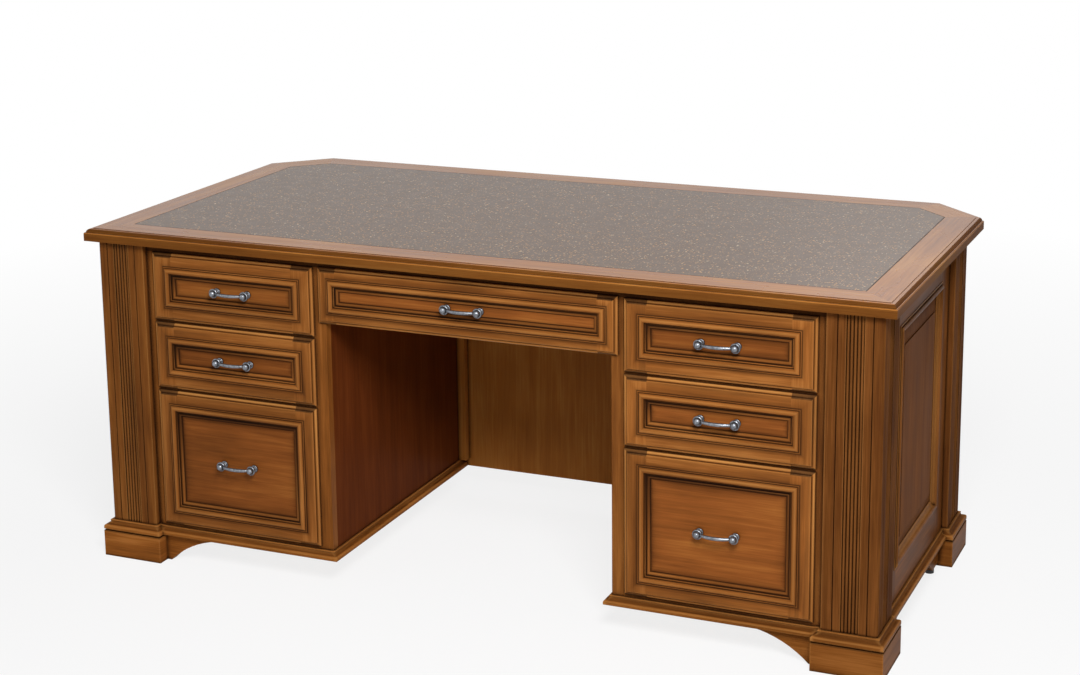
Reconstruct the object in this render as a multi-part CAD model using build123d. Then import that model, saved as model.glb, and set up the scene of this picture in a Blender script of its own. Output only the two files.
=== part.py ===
from build123d import *
import os
from math import acos, cos, radians, sin

# Double-pedestal executive desk: a clipped-corner top on two frame-and-panel pedestals with seven drawers.
# Millimetres. X runs to the sitter's right, Y from the sitter to the far side, Z up.
# The origin is on the floor under the middle of the top.

# Top
desk_height = 765.0
top_width = 1829.0
top_depth = 932.0
top_thickness = 27.5
border_width = 80.0
clip_leg = 121.0
inlay_thickness = 1.5

# Moulded edge of the top, measured in from its outline
edge_band_height = 19.0
edge_band_round = 2.5
edge_ledge = 4.0
edge_riser = 2.0
edge_ovolo = 9.0
edge_fillet = 3.0
edge_lip = 1.0

# How far the top overhangs the corner posts
side_overhang = 26.0
front_overhang = 16.6
rear_overhang = 166.4

# Corner posts and their reeding
post_size = 115.0
post_corner_chamfer = 4.0
reed_count = 5
reed_pitch = 7.2
reed_radius = 3.4
reed_sink = 0.5
quirk_width = 2.5
quirk_depth = 2.0
quirk_margin = 21.0

# Plinth blocks and cap mouldings at the foot of the posts
plinth_height = 60.0
plinth_projection = 16.5
cap_height = 24.0
cap_groove_height = 3.5
cap_groove_depth = 4.5

# Frames of the pedestals
frame_setback = 14.0
frame_thickness = 20.0
frame_bottom = 64.0
kneehole_width = 653.0
wall_thickness = 18.0
board_thickness = 18.0
stile_reveal = 70.0
bottom_rail_reveal = 88.0
top_rail_reveal = 69.0
panel_tongue = 8.0
panel_edge_thickness = 8.0
panel_edge_sink = 8.0
panel_bevel_width = 26.0
panel_bevel_rise = 4.0
panel_field_step = 2.0

# Base moulding and brackets
base_height = 19.0
base_projection = 15.0
bracket_foot = 10.5
bracket_radius = 220.0
bracket_tip = 2.0
side_bracket_foot = 58.0
glide_inset = 45.0
glide_radius = 10.0
glide_height = 10.0
glide_chamfer = 2.0
glide_stem_radius = 3.0
glide_stem_length = 16.0

# Modesty panel and cleats
modesty_setback = 58.0
modesty_thickness = 19.0
modesty_moulding_margin = 90.0
cleat_size = 20.0

# Drawer fronts, all lipped over the face frame
front_top_gap = 17.0
front_gap = 5.5
top_front_height = 153.0
middle_front_height = 151.0
centre_front_top_gap = 15.0
centre_front_height = 123.5
file_front_rise = 7.5
inner_stile_reveal = 28.5
outer_stile_reveal = 18.5
centre_stile_cover = 15.0
lip_overlap = 9.0
lip_thickness = 10.0
lip_edge_height = 6.0
lip_edge_step = 7.0
lip_edge_round = 4.0
lip_face_round = 2.5
rabbet_depth = 10.0
rabbet_clearance = 2.0
front_margin = 30.0
centre_front_margin = 23.0
front_panel_thickness = 8.0
front_panel_tongue = 6.0

# Moulding strips round the drawer panels: sizes in order from the outer edge inwards
front_moulding_drop = 7.0
front_bead = 2.6
front_quirk = 0.7
front_ridge = 12.2
front_ridge_height = 4.5
front_cove = 7.0
front_inner_round = 5.0

# Moulding strips round the raised panels
panel_bead = 4.0
panel_quirk = 1.0
panel_ridge = 11.0
panel_ridge_height = 6.0
panel_cove = 7.0
panel_inner_round = 5.0
bead_height = 1.6

# Shapes of the moulding sections, as shares of their width, height and drop
ridge_crest_share = 0.48
ridge_shoulder_share = 0.55
cove_top_share = 0.12
cove_bottom_share = 0.6
cove_belly_share = 0.35
nose_share = 0.3
ogee_fillet_share = 0.26
ogee_round = ((0.90, 0.44), (0.62, 0.52))
ogee_hollow = ((0.36, 0.64), (0.30, 0.84))
ogee_bead = ((0.33, 0.93), (0.22, 1.0))
mitre_overcut = 1.0
through_cut = 50.0

# Drawer boxes and slides
box_depth = 560.0
centre_box_depth = 480.0
box_wall = 12.0
box_bottom_thickness = 6.0
box_bottom_rise = 8.0
box_floor_gap = 5.0
box_head_gap = 23.5
slide_width = 12.7
slide_height = 45.0
slide_gauge = 1.5
slide_play = 0.3
slide_channel_depth = 9.0
slide_length = 550.0
centre_slide_length = 450.0
slide_frame_gap = 3.0
batten_height = 60.0
bottom_drop = 6.5

# Bow pulls
pull_centres = 76.2
pull_projection = 27.0
pull_rosette_radius = 8.0
pull_rosette_height = 2.5
pull_rosette_round = 1.5
pull_neck_radius = 4.2
pull_collar_radius = 10.6
pull_collar_height = 5.0
pull_collar_round = 2.2
pull_ball_radius = 8.0
pull_bar_radius = 3.2
pull_bar_root = 14.0
pull_bar_bow = 11.5
screw_radius = 2.0
screw_head_radius = 4.0
screw_head_height = 2.4
screw_reach = 9.0
hole_clearance = 0.15

# Derived places, given for the right-hand side
underside = desk_height - top_thickness
post_out = top_width / 2 - side_overhang
post_in = post_out - post_size
post_front = -top_depth / 2 + front_overhang
post_back = top_depth / 2 - rear_overhang
face_plane = post_front + frame_setback
face_back = face_plane + frame_thickness
rear_plane = post_back - frame_setback
rear_inside = rear_plane - frame_thickness
side_plane = post_out - frame_setback
side_inside = side_plane - frame_thickness
side_front = post_front + post_size
side_rear = post_back - post_size
plinth_in = post_in - plinth_projection
wall_in = kneehole_width / 2
wall_out = wall_in + wall_thickness
modesty_face = rear_plane - modesty_setback
frame_height = underside - frame_bottom
base_top = frame_bottom + base_height
front_in = wall_in + inner_stile_reveal
front_out = post_in - outer_stile_reveal
front_centre = (front_in + front_out) / 2
front_width = front_out - front_in
bay_in = front_in + lip_overlap
bay_out = front_out - lip_overlap
front_top = underside - front_top_gap
centre_front_top = underside - centre_front_top_gap
middle_front_top = front_top - top_front_height - front_gap
file_front_top = middle_front_top - middle_front_height - front_gap
file_front_bottom = base_top + file_front_rise
floor_top = file_front_bottom + lip_overlap - bottom_drop
panel_moulding_width = panel_bead + panel_quirk + panel_ridge + panel_cove + panel_inner_round
front_moulding_seat = front_bead + front_ridge
panel_moulding_seat = panel_bead + panel_ridge
panel_stile = stile_reveal + panel_moulding_seat
panel_bottom_rail = bottom_rail_reveal + panel_moulding_seat
panel_top_rail = top_rail_reveal + panel_moulding_seat
panel_margin = panel_moulding_width - panel_moulding_seat
pull_seat = lip_thickness - front_moulding_drop


def block(x0, x1, y0, y1, z0, z1):
    """Box between two opposite corners."""
    place = Pos((x0 + x1) / 2, (y0 + y1) / 2, (z0 + z1) / 2)
    return place * Box(x1 - x0, y1 - y0, z1 - z0)


def left_of(shape):
    """The same piece on the other side of the desk."""
    return mirror(shape, about=Plane.YZ)


def both_sides(shapes):
    """Pieces of the right-hand side, followed by those of the left-hand side."""
    return list(shapes) + [left_of(shape) for shape in shapes]


def write_node(name, shapes):
    """Write the solids of one node to its file."""
    solids = [solid for shape in shapes for solid in shape.solids()]
    node = solids[0] if len(solids) == 1 else Compound(children=solids)
    export_step(node, f"parts/{name}.step")


def outline_face(start, *steps):
    """Closed face. A step is an end point, or a pair of a middle and an end point for an arc."""
    edges = []
    here = start
    for step in steps:
        if isinstance(step[0], tuple):
            middle, end = step
            edges.append(ThreePointArc(here, middle, end))
        else:
            end = step
            edges.append(Line(here, end))
        here = end
    edges.append(Line(here, start))
    return make_face(edges)


def rectangle_points(width, height):
    """Corners of a centred rectangle, counter-clockwise."""
    x = width / 2
    y = height / 2
    return [(-x, -y), (x, -y), (x, y), (-x, y)]


def inward(start, end):
    """Unit vector to the left of the way from start to end."""
    along = (Vector(*end) - Vector(*start)).normalized()
    return Vector(-along.Y, along.X, 0)


def mitre(before, after):
    """Step along the mitre line for one unit of inward distance."""
    return (before + after) / (1 + before.dot(after))


def moulding_strip(section, start, end, start_mitre, end_mitre):
    """One strip of a section along an edge, cut at both ends along its mitre lines.

    The section's X is the distance inwards from the edge and its Y is the height.
    """
    a = Vector(*start)
    b = Vector(*end)
    along = (b - a).normalized()
    bounds = section.bounding_box()
    outer = bounds.min.X - mitre_overcut
    inner = bounds.max.X + mitre_overcut
    overrun = 2 * (inner - outer)
    plane = Plane(origin=a - along * overrun, x_dir=inward(start, end), z_dir=along)
    bar = extrude(plane * section, amount=(b - a).length + 2 * overrun)
    corners = [
        a + start_mitre * outer,
        b + end_mitre * outer,
        b + end_mitre * inner,
        a + start_mitre * inner,
    ]
    plan = make_face(Polyline(*corners, close=True))
    height = bounds.max.Y - bounds.min.Y + 2 * mitre_overcut
    return bar & (Pos(0, 0, bounds.min.Y - mitre_overcut) * extrude(plan, amount=height))


def moulding_run(section, points, closed=True):
    """Strips of a section along each edge of an outline, mitred where two edges meet."""
    count = len(points)
    edge_count = count if closed else count - 1
    edges = [(points[i], points[(i + 1) % count]) for i in range(edge_count)]
    normals = [inward(start, end) for start, end in edges]
    strips = []
    for i, (start, end) in enumerate(edges):
        has_before = closed or i > 0
        has_after = closed or i < edge_count - 1
        start_mitre = mitre(normals[i - 1], normals[i]) if has_before else normals[i]
        end_mitre = mitre(normals[i], normals[(i + 1) % edge_count]) if has_after else normals[i]
        strips.append(moulding_strip(section, start, end, start_mitre, end_mitre))
    return strips


def bolection_section(bead, quirk, ridge, ridge_height, cove, inner_round, drop):
    """Panel moulding: a small bead, a tall ridge, a cove and a rounded inner edge over the panel.

    It sits on the frame as far as the ridge goes, and comes down by drop to the panel beyond.
    """
    seat = bead + ridge
    ridge_start = bead + quirk
    ridge_end = ridge_start + ridge
    cove_end = ridge_end + cove
    width = cove_end + inner_round
    low = bead_height / 2
    crest = ridge_start + ridge * ridge_crest_share
    shoulder = ridge_height * ridge_shoulder_share
    cove_top = -drop * cove_top_share
    cove_bottom = -drop * cove_bottom_share
    cove_belly = (ridge_end + cove * cove_belly_share, (cove_top + 2 * cove_bottom) / 3)
    nose_bottom = cove_bottom - drop * nose_share
    nose_middle = (width - inner_round / 4, (2 * cove_bottom + nose_bottom) / 3)
    return outline_face(
        (0, 0),
        (0, low),
        ((bead / 2, bead_height), (bead, low)),
        (ridge_start, low),
        ((crest, ridge_height), (ridge_end - quirk, shoulder)),
        (ridge_end, cove_top),
        (cove_belly, (cove_end, cove_bottom)),
        (nose_middle, (width, nose_bottom)),
        (width, -drop),
        (seat, -drop),
        (seat, 0),
    )


def ogee_section(projection, height):
    """Foot moulding on the outside of an edge: a flat fillet, a round and a hollow up to a small bead."""
    arcs = []
    for shares in (ogee_round, ogee_hollow, ogee_bead):
        arcs.append(tuple((-projection * out, height * up) for out, up in shares))
    return outline_face(
        (0, 0),
        (-projection, 0),
        (-projection, height * ogee_fillet_share),
        *arcs,
        (0, height),
    )


def border_section():
    """Cross-section of a border board with its moulded outer edge."""
    ovolo_start = edge_band_height + edge_riser
    ovolo_top = top_thickness - edge_lip
    ovolo_rise = ovolo_top - ovolo_start
    ovolo_end = edge_ledge + edge_ovolo
    half_turn = radians(45)
    ovolo_middle = (edge_ledge + edge_ovolo * (1 - cos(half_turn)), ovolo_start + ovolo_rise * sin(half_turn))
    band_corner = edge_band_round * (1 - cos(half_turn))
    return outline_face(
        (0, 0),
        (0, edge_band_height - edge_band_round),
        ((band_corner, edge_band_height - band_corner), (edge_band_round, edge_band_height)),
        (edge_ledge, edge_band_height),
        (edge_ledge, ovolo_start),
        (ovolo_middle, (ovolo_end, ovolo_top)),
        (ovolo_end + edge_fillet, ovolo_top),
        (ovolo_end + edge_fillet, top_thickness),
        (border_width, top_thickness),
        (border_width, 0),
    )


def top_outline():
    """Outline of the top in plan, counter-clockwise from the front left corner."""
    x = top_width / 2
    y = top_depth / 2
    return [
        (-x, -y),
        (x, -y),
        (x, y - clip_leg),
        (x - clip_leg, y),
        (-x + clip_leg, y),
        (-x, y - clip_leg),
    ]


def write_top():
    """Border boards, core board and inlay of the top."""
    section = Pos(0, underside) * border_section()
    front, right_end, right_clip, rear, left_clip, left_end = moulding_run(section, top_outline())
    write_node("border_front", [front])
    write_node("border_rear", [rear])
    write_node("border_ends", [right_end, left_end])
    write_node("border_clips", [right_clip, left_clip])
    plan = offset(make_face(Polyline(*top_outline(), close=True)), amount=-border_width)
    core_thickness = top_thickness - inlay_thickness
    core = Pos(0, 0, underside) * extrude(plan, amount=core_thickness)
    inlay = Pos(0, 0, underside + core_thickness) * extrude(plan, amount=inlay_thickness)
    write_node("top_core", [core])
    write_node("top_inlay", [inlay])


def flute_cutter():
    """What is cut from one post face: a band between reeds and a quirk on each side of it.

    The face lies along X at Y = 0, with the post below it.
    """
    band = reed_count * reed_pitch
    depth = reed_radius + reed_sink
    cutter = Pos(0, -depth / 2) * Rectangle(band, depth)
    for i in range(reed_count):
        x = (i - (reed_count - 1) / 2) * reed_pitch
        cutter -= Pos(x, -depth) * Circle(reed_radius)
    quirk_x = post_size / 2 - quirk_margin - quirk_width / 2
    for side in (-1, 1):
        notch = make_face(Polyline(
            (side * quirk_x - quirk_width / 2, 0),
            (side * quirk_x + quirk_width / 2, 0),
            (side * quirk_x, -quirk_depth),
            close=True,
        ))
        cutter += notch
    return Pos(0, post_size / 2) * cutter


def corner_post(fluted_turns, corner):
    """Corner post in its own frame: fluted faces by turns from +Y, chamfered along its outer corner."""
    plan = Rectangle(post_size, post_size)
    outer = plan.vertices().sort_by_distance((corner[0] * post_size, corner[1] * post_size))[0]
    plan = chamfer(outer, post_corner_chamfer)
    for turn in fluted_turns:
        plan -= Rot(0, 0, turn) * flute_cutter()
    return extrude(plan, amount=underside - plinth_height)


def post_places():
    """Names, signs and centres of the four corner posts."""
    x = post_out - post_size / 2
    front_y = post_front + post_size / 2
    rear_y = post_back - post_size / 2
    return [
        ("front_right", (1, -1), (x, front_y)),
        ("front_left", (-1, -1), (-x, front_y)),
        ("rear_right", (1, 1), (x, rear_y)),
        ("rear_left", (-1, 1), (-x, rear_y)),
    ]


def cap_section():
    """Cap moulding with the groove that parts it from the plinth block."""
    ogee = Pos(0, cap_groove_height) * ogee_section(plinth_projection, cap_height - cap_groove_height)
    throat = plinth_projection - cap_groove_depth
    groove = Pos(-throat / 2, cap_groove_height / 2) * Rectangle(throat, cap_groove_height)
    return ogee + groove


def case_core():
    """Space inside the planes of the case frames, where cap mouldings stop."""
    return block(-side_plane, side_plane, face_plane, rear_plane, 0, underside)


def cap_strips():
    """Cap mouldings round the outward sides of the posts."""
    strips = []
    section = cap_section()
    for _, _, centre in post_places():
        for strip in moulding_run(section, rectangle_points(post_size, post_size)):
            kept = Pos(*centre, plinth_height) * strip - case_core()
            strips += kept.solids()
    return strips


def write_posts():
    """Corner posts with their plinth blocks and cap mouldings."""
    blocks = []
    width = post_size + 2 * plinth_projection
    for name, (sign_x, sign_y), centre in post_places():
        side_turn = -90 * sign_x
        end_turn = 0 if sign_y > 0 else 180
        post = corner_post((side_turn, end_turn), (sign_x, sign_y))
        write_node(f"post_{name}", [Pos(*centre, plinth_height) * post])
        blocks.append(Pos(*centre, plinth_height / 2) * Box(width, width, plinth_height))
    write_node("plinth_blocks", blocks)
    write_node("plinth_caps", cap_strips())


def base_strips():
    """Base moulding of the right-hand pedestal: front and knee hole, outer side and far side."""
    section = Pos(0, frame_bottom) * ogee_section(base_projection, base_height)
    front_route = [(wall_in, modesty_face), (wall_in, face_plane), (post_in, face_plane)]
    strips = moulding_run(section, front_route, False)
    strips += moulding_run(section, [(side_plane, side_front), (side_plane, side_rear)], False)
    strips += moulding_run(section, [(post_in, rear_plane), (wall_in, rear_plane)], False)
    caps = cap_strips()
    return [strip - caps for strip in strips]


def bracket(foot, lift):
    """Arched bracket: X away from the plinth, Y up, Z through its thickness."""
    apex = frame_bottom - bracket_tip
    turn = acos(1 - (apex - lift) / bracket_radius)
    end_x = foot + bracket_radius * sin(turn)
    half = turn / 2
    arc_middle = (end_x - bracket_radius * sin(half), apex - bracket_radius * (1 - cos(half)))
    profile = outline_face(
        (0, lift),
        (foot, lift),
        (arc_middle, (end_x, apex)),
        (end_x, frame_bottom),
        (0, frame_bottom),
    )
    return extrude(profile, amount=frame_thickness)


def write_feet():
    """Brackets beside the plinths, and the glides under the side brackets."""
    up = (0, 0, 1)
    plain = bracket(bracket_foot, 0)
    front = Plane(origin=(plinth_in, face_plane, 0), x_dir=(-1, 0, 0), z_dir=(0, 1, 0)) * plain
    rear = Plane(origin=(plinth_in, rear_inside, 0), x_dir=(-1, 0, 0), z_dir=(0, 1, 0)) * plain
    hole = Pos(glide_inset, glide_height, frame_thickness / 2) * Rot(-90, 0, 0) * Cylinder(
        glide_stem_radius + hole_clearance,
        glide_stem_length + hole_clearance,
        align=(Align.CENTER, Align.CENTER, Align.MIN),
    )
    drilled = bracket(side_bracket_foot, glide_height) - hole
    ahead = side_front + plinth_projection
    behind = side_rear - plinth_projection
    side_a = Plane(origin=(side_inside, ahead, 0), x_dir=(0, 1, 0), z_dir=(1, 0, 0)) * drilled
    side_b = Plane(origin=(side_plane, behind, 0), x_dir=(0, -1, 0), z_dir=(-1, 0, 0)) * drilled
    write_node("brackets", both_sides([front, rear, side_a, side_b]))
    base = (Align.CENTER, Align.CENTER, Align.MIN)
    pad = Cylinder(glide_radius, glide_height, align=base)
    pad = chamfer(pad.edges().sort_by(Axis.Z)[-1], glide_chamfer)
    stem = Pos(0, 0, glide_height) * Cylinder(glide_stem_radius, glide_stem_length, align=base)
    glide = pad + stem
    x = (side_inside + side_plane) / 2
    places = [(x, ahead + glide_inset), (x, behind - glide_inset)]
    write_node("glides", both_sides([Pos(*place, 0) * glide for place in places]))


def raised_panel(width, height):
    """Raised panel facing +Z, whose frame's face is at Z = 0. The size includes its tongues."""
    back = -panel_edge_sink - panel_edge_thickness
    edge = Pos(0, 0, back) * extrude(Rectangle(width, height), amount=panel_edge_thickness)
    margin = 2 * (panel_tongue + panel_margin)
    bevel_low = Rectangle(width - margin, height - margin)
    field_width = width - margin - 2 * panel_bevel_width
    field_height = height - margin - 2 * panel_bevel_width
    bevel_high = Pos(0, 0, panel_bevel_rise) * Rectangle(field_width, field_height)
    bevel = Pos(0, 0, -panel_edge_sink) * loft([bevel_low, bevel_high])
    field_floor = -panel_edge_sink + panel_bevel_rise
    field = Pos(0, 0, field_floor) * extrude(Rectangle(field_width, field_height), amount=panel_field_step)
    return edge + bevel + field


def panel_section():
    """Moulding round the raised panels of the case."""
    return bolection_section(
        panel_bead, panel_quirk, panel_ridge, panel_ridge_height, panel_cove, panel_inner_round,
        panel_edge_sink,
    )


def framed_panel(width):
    """Frame, raised panel and moulding of a case side, standing on the X axis and facing +Z."""
    half = width / 2
    head = frame_height - panel_top_rail
    members = [
        block(-half, panel_stile - half, 0, frame_height, -frame_thickness, 0),
        block(half - panel_stile, half, 0, frame_height, -frame_thickness, 0),
        block(panel_stile - half, half - panel_stile, 0, panel_bottom_rail, -frame_thickness, 0),
        block(panel_stile - half, half - panel_stile, head, frame_height, -frame_thickness, 0),
    ]
    window_width = width - 2 * panel_stile
    window_height = head - panel_bottom_rail
    middle = Pos(0, panel_bottom_rail + window_height / 2, 0)
    panel = middle * raised_panel(window_width + 2 * panel_tongue, window_height + 2 * panel_tongue)
    seat = 2 * panel_moulding_seat
    outline = rectangle_points(window_width + seat, window_height + seat)
    mouldings = [middle * strip for strip in moulding_run(panel_section(), outline)]
    return [member - panel for member in members], panel, mouldings


def modesty_mouldings():
    """Moulding planted on the far side of the modesty panel, facing +Z."""
    width = kneehole_width - 2 * modesty_moulding_margin
    height = frame_height - 2 * modesty_moulding_margin
    section = outline_face(
        (0, 0),
        (0, bead_height / 2),
        ((panel_bead / 2, bead_height), (panel_bead, bead_height / 2)),
        (panel_bead + panel_quirk, bead_height / 2),
        (
            (panel_bead + panel_quirk + panel_ridge / 2, panel_ridge_height),
            (panel_bead + panel_quirk + panel_ridge, panel_ridge_height / 2),
        ),
        (panel_moulding_width, bead_height / 2),
        (panel_moulding_width, 0),
    )
    return moulding_run(section, rectangle_points(width, height))


def write_case_panels():
    """Outer sides and far sides of the pedestals, and the modesty panel between them."""
    side_middle = (side_plane, (side_front + side_rear) / 2, frame_bottom)
    side_plan = Plane(origin=side_middle, x_dir=(0, 1, 0), z_dir=(1, 0, 0))
    rear_middle = ((wall_in + post_in) / 2, rear_plane, frame_bottom)
    rear_plan = Plane(origin=rear_middle, x_dir=(-1, 0, 0), z_dir=(0, 1, 0))
    side_members, side_panel, side_strips = framed_panel(side_rear - side_front)
    rear_members, rear_panel, rear_strips = framed_panel(post_in - wall_in)
    side_frame = [side_plan * member for member in side_members]
    write_node("side_frame_right", side_frame)
    write_node("side_frame_left", [left_of(member) for member in side_frame])
    write_node("back_frames", both_sides([rear_plan * member for member in rear_members]))
    write_node("raised_panels", both_sides([side_plan * side_panel, rear_plan * rear_panel]))
    strips = both_sides([side_plan * strip for strip in side_strips])
    strips += both_sides([rear_plan * strip for strip in rear_strips])
    modesty_back = modesty_face + modesty_thickness
    modesty_middle = (0, modesty_back, frame_bottom + frame_height / 2)
    modesty_plan = Plane(origin=modesty_middle, x_dir=(-1, 0, 0), z_dir=(0, 1, 0))
    strips += [modesty_plan * strip for strip in modesty_mouldings()]
    write_node("panel_mouldings", strips)
    modesty = block(-wall_in, wall_in, modesty_face, modesty_back, frame_bottom, underside)
    write_node("modesty_panel", [modesty])


def write_case_boards():
    """Knee-hole walls, bay partitions, pedestal bottoms, battens and cleats."""
    wall = block(wall_in, wall_out, face_back, rear_inside, frame_bottom, underside)
    write_node("kneehole_walls", both_sides([wall]))
    partition_out = bay_out + board_thickness
    partition = block(bay_out, partition_out, face_back, rear_inside, floor_top, underside)
    write_node("slide_partitions", both_sides([partition]))
    floor = block(wall_out, partition_out, face_back, rear_inside, floor_top - board_thickness, floor_top)
    write_node("pedestal_bottoms", both_sides([floor]))
    battens = []
    for _, low, high in bay_drawers():
        batten_low = slide_level(low, high) - batten_height / 2
        batten = block(wall_out, bay_in, face_back, rear_inside, batten_low, batten_low + batten_height)
        battens.append(batten)
    write_node("slide_battens", both_sides(battens))
    corner_x = wall_in - cleat_size
    corner = block(corner_x, wall_in, modesty_face - cleat_size, modesty_face, base_top, underside)
    head = underside - cleat_size
    wall_cleat = block(wall_out, wall_out + cleat_size, face_back, rear_inside, head, underside)
    bay_cleat = block(bay_out - cleat_size, bay_out, face_back, rear_inside, head, underside)
    write_node("fixing_cleats", both_sides([corner, wall_cleat, bay_cleat]))


def bay_drawers():
    """Name, bottom and top of each drawer front of a pedestal."""
    return [
        ("top", front_top - top_front_height, front_top),
        ("middle", middle_front_top - middle_front_height, middle_front_top),
        ("file", file_front_bottom, file_front_top),
    ]


def box_levels(low, high):
    """Bottom and top of the drawer box behind a front."""
    return low + lip_overlap + box_floor_gap, high - lip_overlap - box_head_gap


def slide_level(low, high):
    """Height of the middle of the slides beside a drawer box."""
    bottom, top = box_levels(low, high)
    return (bottom + top) / 2


def write_face_frames():
    """Stiles and rails round the drawer bays, and the rail over the centre drawer."""
    openings = [(low + lip_overlap, high - lip_overlap) for _, low, high in bay_drawers()]
    members = [
        block(wall_in, bay_in, face_plane, face_back, frame_bottom, underside),
        block(bay_out, post_in, face_plane, face_back, frame_bottom, underside),
    ]
    heads = [underside] + [bottom for bottom, _ in openings]
    sills = [top for _, top in openings] + [frame_bottom]
    for head, sill in zip(heads, sills):
        members.append(block(bay_in, bay_out, face_plane, face_back, sill, head))
    write_node("face_frame_right", members)
    write_node("face_frame_left", [left_of(member) for member in members])
    rail = block(-wall_in, wall_in, face_plane, face_back, centre_front_top - lip_overlap, underside)
    write_node("kneehole_rail", [rail])


def drawer_front(width, height, half_bay, margin):
    """Stiles, rails, flat panel and moulding of a lipped front, facing +Z with its lip's back at Z = 0."""
    rear_width = 2 * (half_bay - rabbet_clearance)
    rear_height = height - 2 * (lip_overlap + rabbet_clearance)
    rear = Pos(0, 0, -rabbet_depth / 2) * Box(rear_width, rear_height, rabbet_depth)
    lower = extrude(Rectangle(width, height), amount=lip_edge_height)
    lower = fillet(lower.faces().sort_by(Axis.Z)[-1].edges(), lip_edge_round)
    step = 2 * lip_edge_step
    upper = extrude(Rectangle(width - step, height - step), amount=lip_thickness)
    upper = fillet(upper.faces().sort_by(Axis.Z)[-1].edges(), lip_face_round)
    member = margin + front_moulding_seat
    window_width = width - 2 * member
    window_height = height - 2 * member
    window = Box(window_width, window_height, through_cut)
    tongue = 2 * front_panel_tongue
    panel = Pos(0, 0, pull_seat - front_panel_thickness / 2) * Box(
        window_width + tongue, window_height + tongue, front_panel_thickness
    )
    ring = rear + lower + upper - window - panel
    middle = Box(window_width, 2 * height, through_cut)
    stiles = ring - middle
    rails = ring & middle
    for x in (-pull_centres / 2, pull_centres / 2):
        panel -= Pos(x, 0, 0) * Cylinder(screw_radius + hole_clearance, through_cut)
    section = bolection_section(
        front_bead, front_quirk, front_ridge, front_ridge_height, front_cove, front_inner_round,
        front_moulding_drop,
    )
    seat = 2 * front_moulding_seat
    outline = rectangle_points(window_width + seat, window_height + seat)
    strips = [Pos(0, 0, lip_thickness) * strip for strip in moulding_run(section, outline)]
    return [stiles, rails, panel] + strips


def drawer_box(half_width, depth, bottom, top, pull_level):
    """Sides, sub-front, back and bottom of a drawer box, centred on X with its front at Y = 0."""
    inside = half_width - box_wall
    sub_front = block(-inside, inside, 0, box_wall, bottom, top)
    for x in (-pull_centres / 2, pull_centres / 2):
        hole = Rot(90, 0, 0) * Cylinder(screw_radius + hole_clearance, through_cut)
        sub_front -= Pos(x, 0, pull_level) * hole
    floor = bottom + box_bottom_rise
    return [
        block(-half_width, -inside, 0, depth, bottom, top),
        block(inside, half_width, 0, depth, bottom, top),
        sub_front,
        block(-inside, inside, depth - box_wall, depth, bottom, top),
        block(-inside, inside, box_wall, depth - box_wall, floor, floor + box_bottom_thickness),
    ]


def pull_post():
    """Turned end of a pull: rosette, neck, collar and ball, along +Z from the panel."""
    ball_centre = pull_projection - pull_ball_radius
    collar_low = ball_centre - pull_collar_height
    base = (Align.CENTER, Align.CENTER, Align.MIN)
    rosette = Cylinder(pull_rosette_radius, pull_rosette_height, align=base)
    rosette = fillet(rosette.edges().sort_by(Axis.Z)[-1], pull_rosette_round)
    neck = Cylinder(pull_neck_radius, ball_centre, align=base)
    collar = Pos(0, 0, collar_low) * Cylinder(pull_collar_radius, pull_collar_height, align=base)
    collar = fillet(collar.edges().filter_by(GeomType.CIRCLE), pull_collar_round)
    ball = Pos(0, 0, ball_centre) * Sphere(pull_ball_radius)
    hole = Cylinder(screw_radius + hole_clearance, screw_reach + hole_clearance, align=base)
    return rosette + neck + collar + ball - hole


def pull_screw():
    """Pull screw along +Z: its head inside the drawer, its tip in the turned end at Z = screw_reach."""
    grip = pull_seat + rabbet_depth + box_wall
    base = (Align.CENTER, Align.CENTER, Align.MIN)
    shank = Pos(0, 0, -grip) * Cylinder(screw_radius, grip + screw_reach, align=base)
    head = Pos(0, 0, -grip - screw_head_height) * Cylinder(screw_head_radius, screw_head_height, align=base)
    return shank + head


def bow_pull():
    """Bow pull facing +Z on its panel, with its two screws."""
    half = pull_centres / 2
    path = ThreePointArc(
        (-half, 0, pull_bar_root), (0, 0, pull_bar_root + pull_bar_bow), (half, 0, pull_bar_root)
    )
    bar = sweep(Plane(origin=path @ 0, z_dir=path % 0) * Circle(pull_bar_radius), path=path)
    casting = bar
    for x in (-half, half):
        casting += Pos(x, 0, 0) * pull_post()
    screws = [Pos(x, 0, 0) * pull_screw() for x in (-half, half)]
    return [casting] + screws


def channel(low_x, high_x, height, web_high, length):
    """Open channel along +Y whose web is on its high or its low X side."""
    outer = block(low_x, high_x, 0, length, -height / 2, height / 2)
    inner_height = height - 2 * slide_gauge
    cut_low = low_x if web_high else low_x + slide_gauge
    cut_high = high_x - slide_gauge if web_high else high_x
    return outer - block(cut_low, cut_high, 0, length, -inner_height / 2, inner_height / 2)


def slide_members(length, full_extension):
    """Case, middle and drawer members of the slide on the low X side of a drawer. The case is at X = 0."""
    nested = slide_height - 2 * slide_gauge - 2 * slide_play
    case_member = channel(0, slide_channel_depth, slide_height, False, length)
    case_web = slide_gauge + slide_play
    if not full_extension:
        return case_member, None, channel(case_web, slide_width, nested, True, length)
    middle_end = slide_width - slide_gauge - slide_play
    middle = channel(case_web, middle_end, nested, False, length)
    inner_height = nested - 2 * slide_gauge - 2 * slide_play
    middle_web = case_web + slide_gauge + slide_play
    return case_member, middle, channel(middle_web, slide_width, inner_height, True, length)


def slide_pair(member, centre, half_bay, level):
    """A slide member on both sides of a drawer bay, level with the drawer's slides."""
    place = Pos(-half_bay, face_back + slide_frame_gap, level)
    pair = [place * member, mirror(place * member, about=Plane.YZ)]
    return [Pos(centre, 0, 0) * piece for piece in pair]


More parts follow.
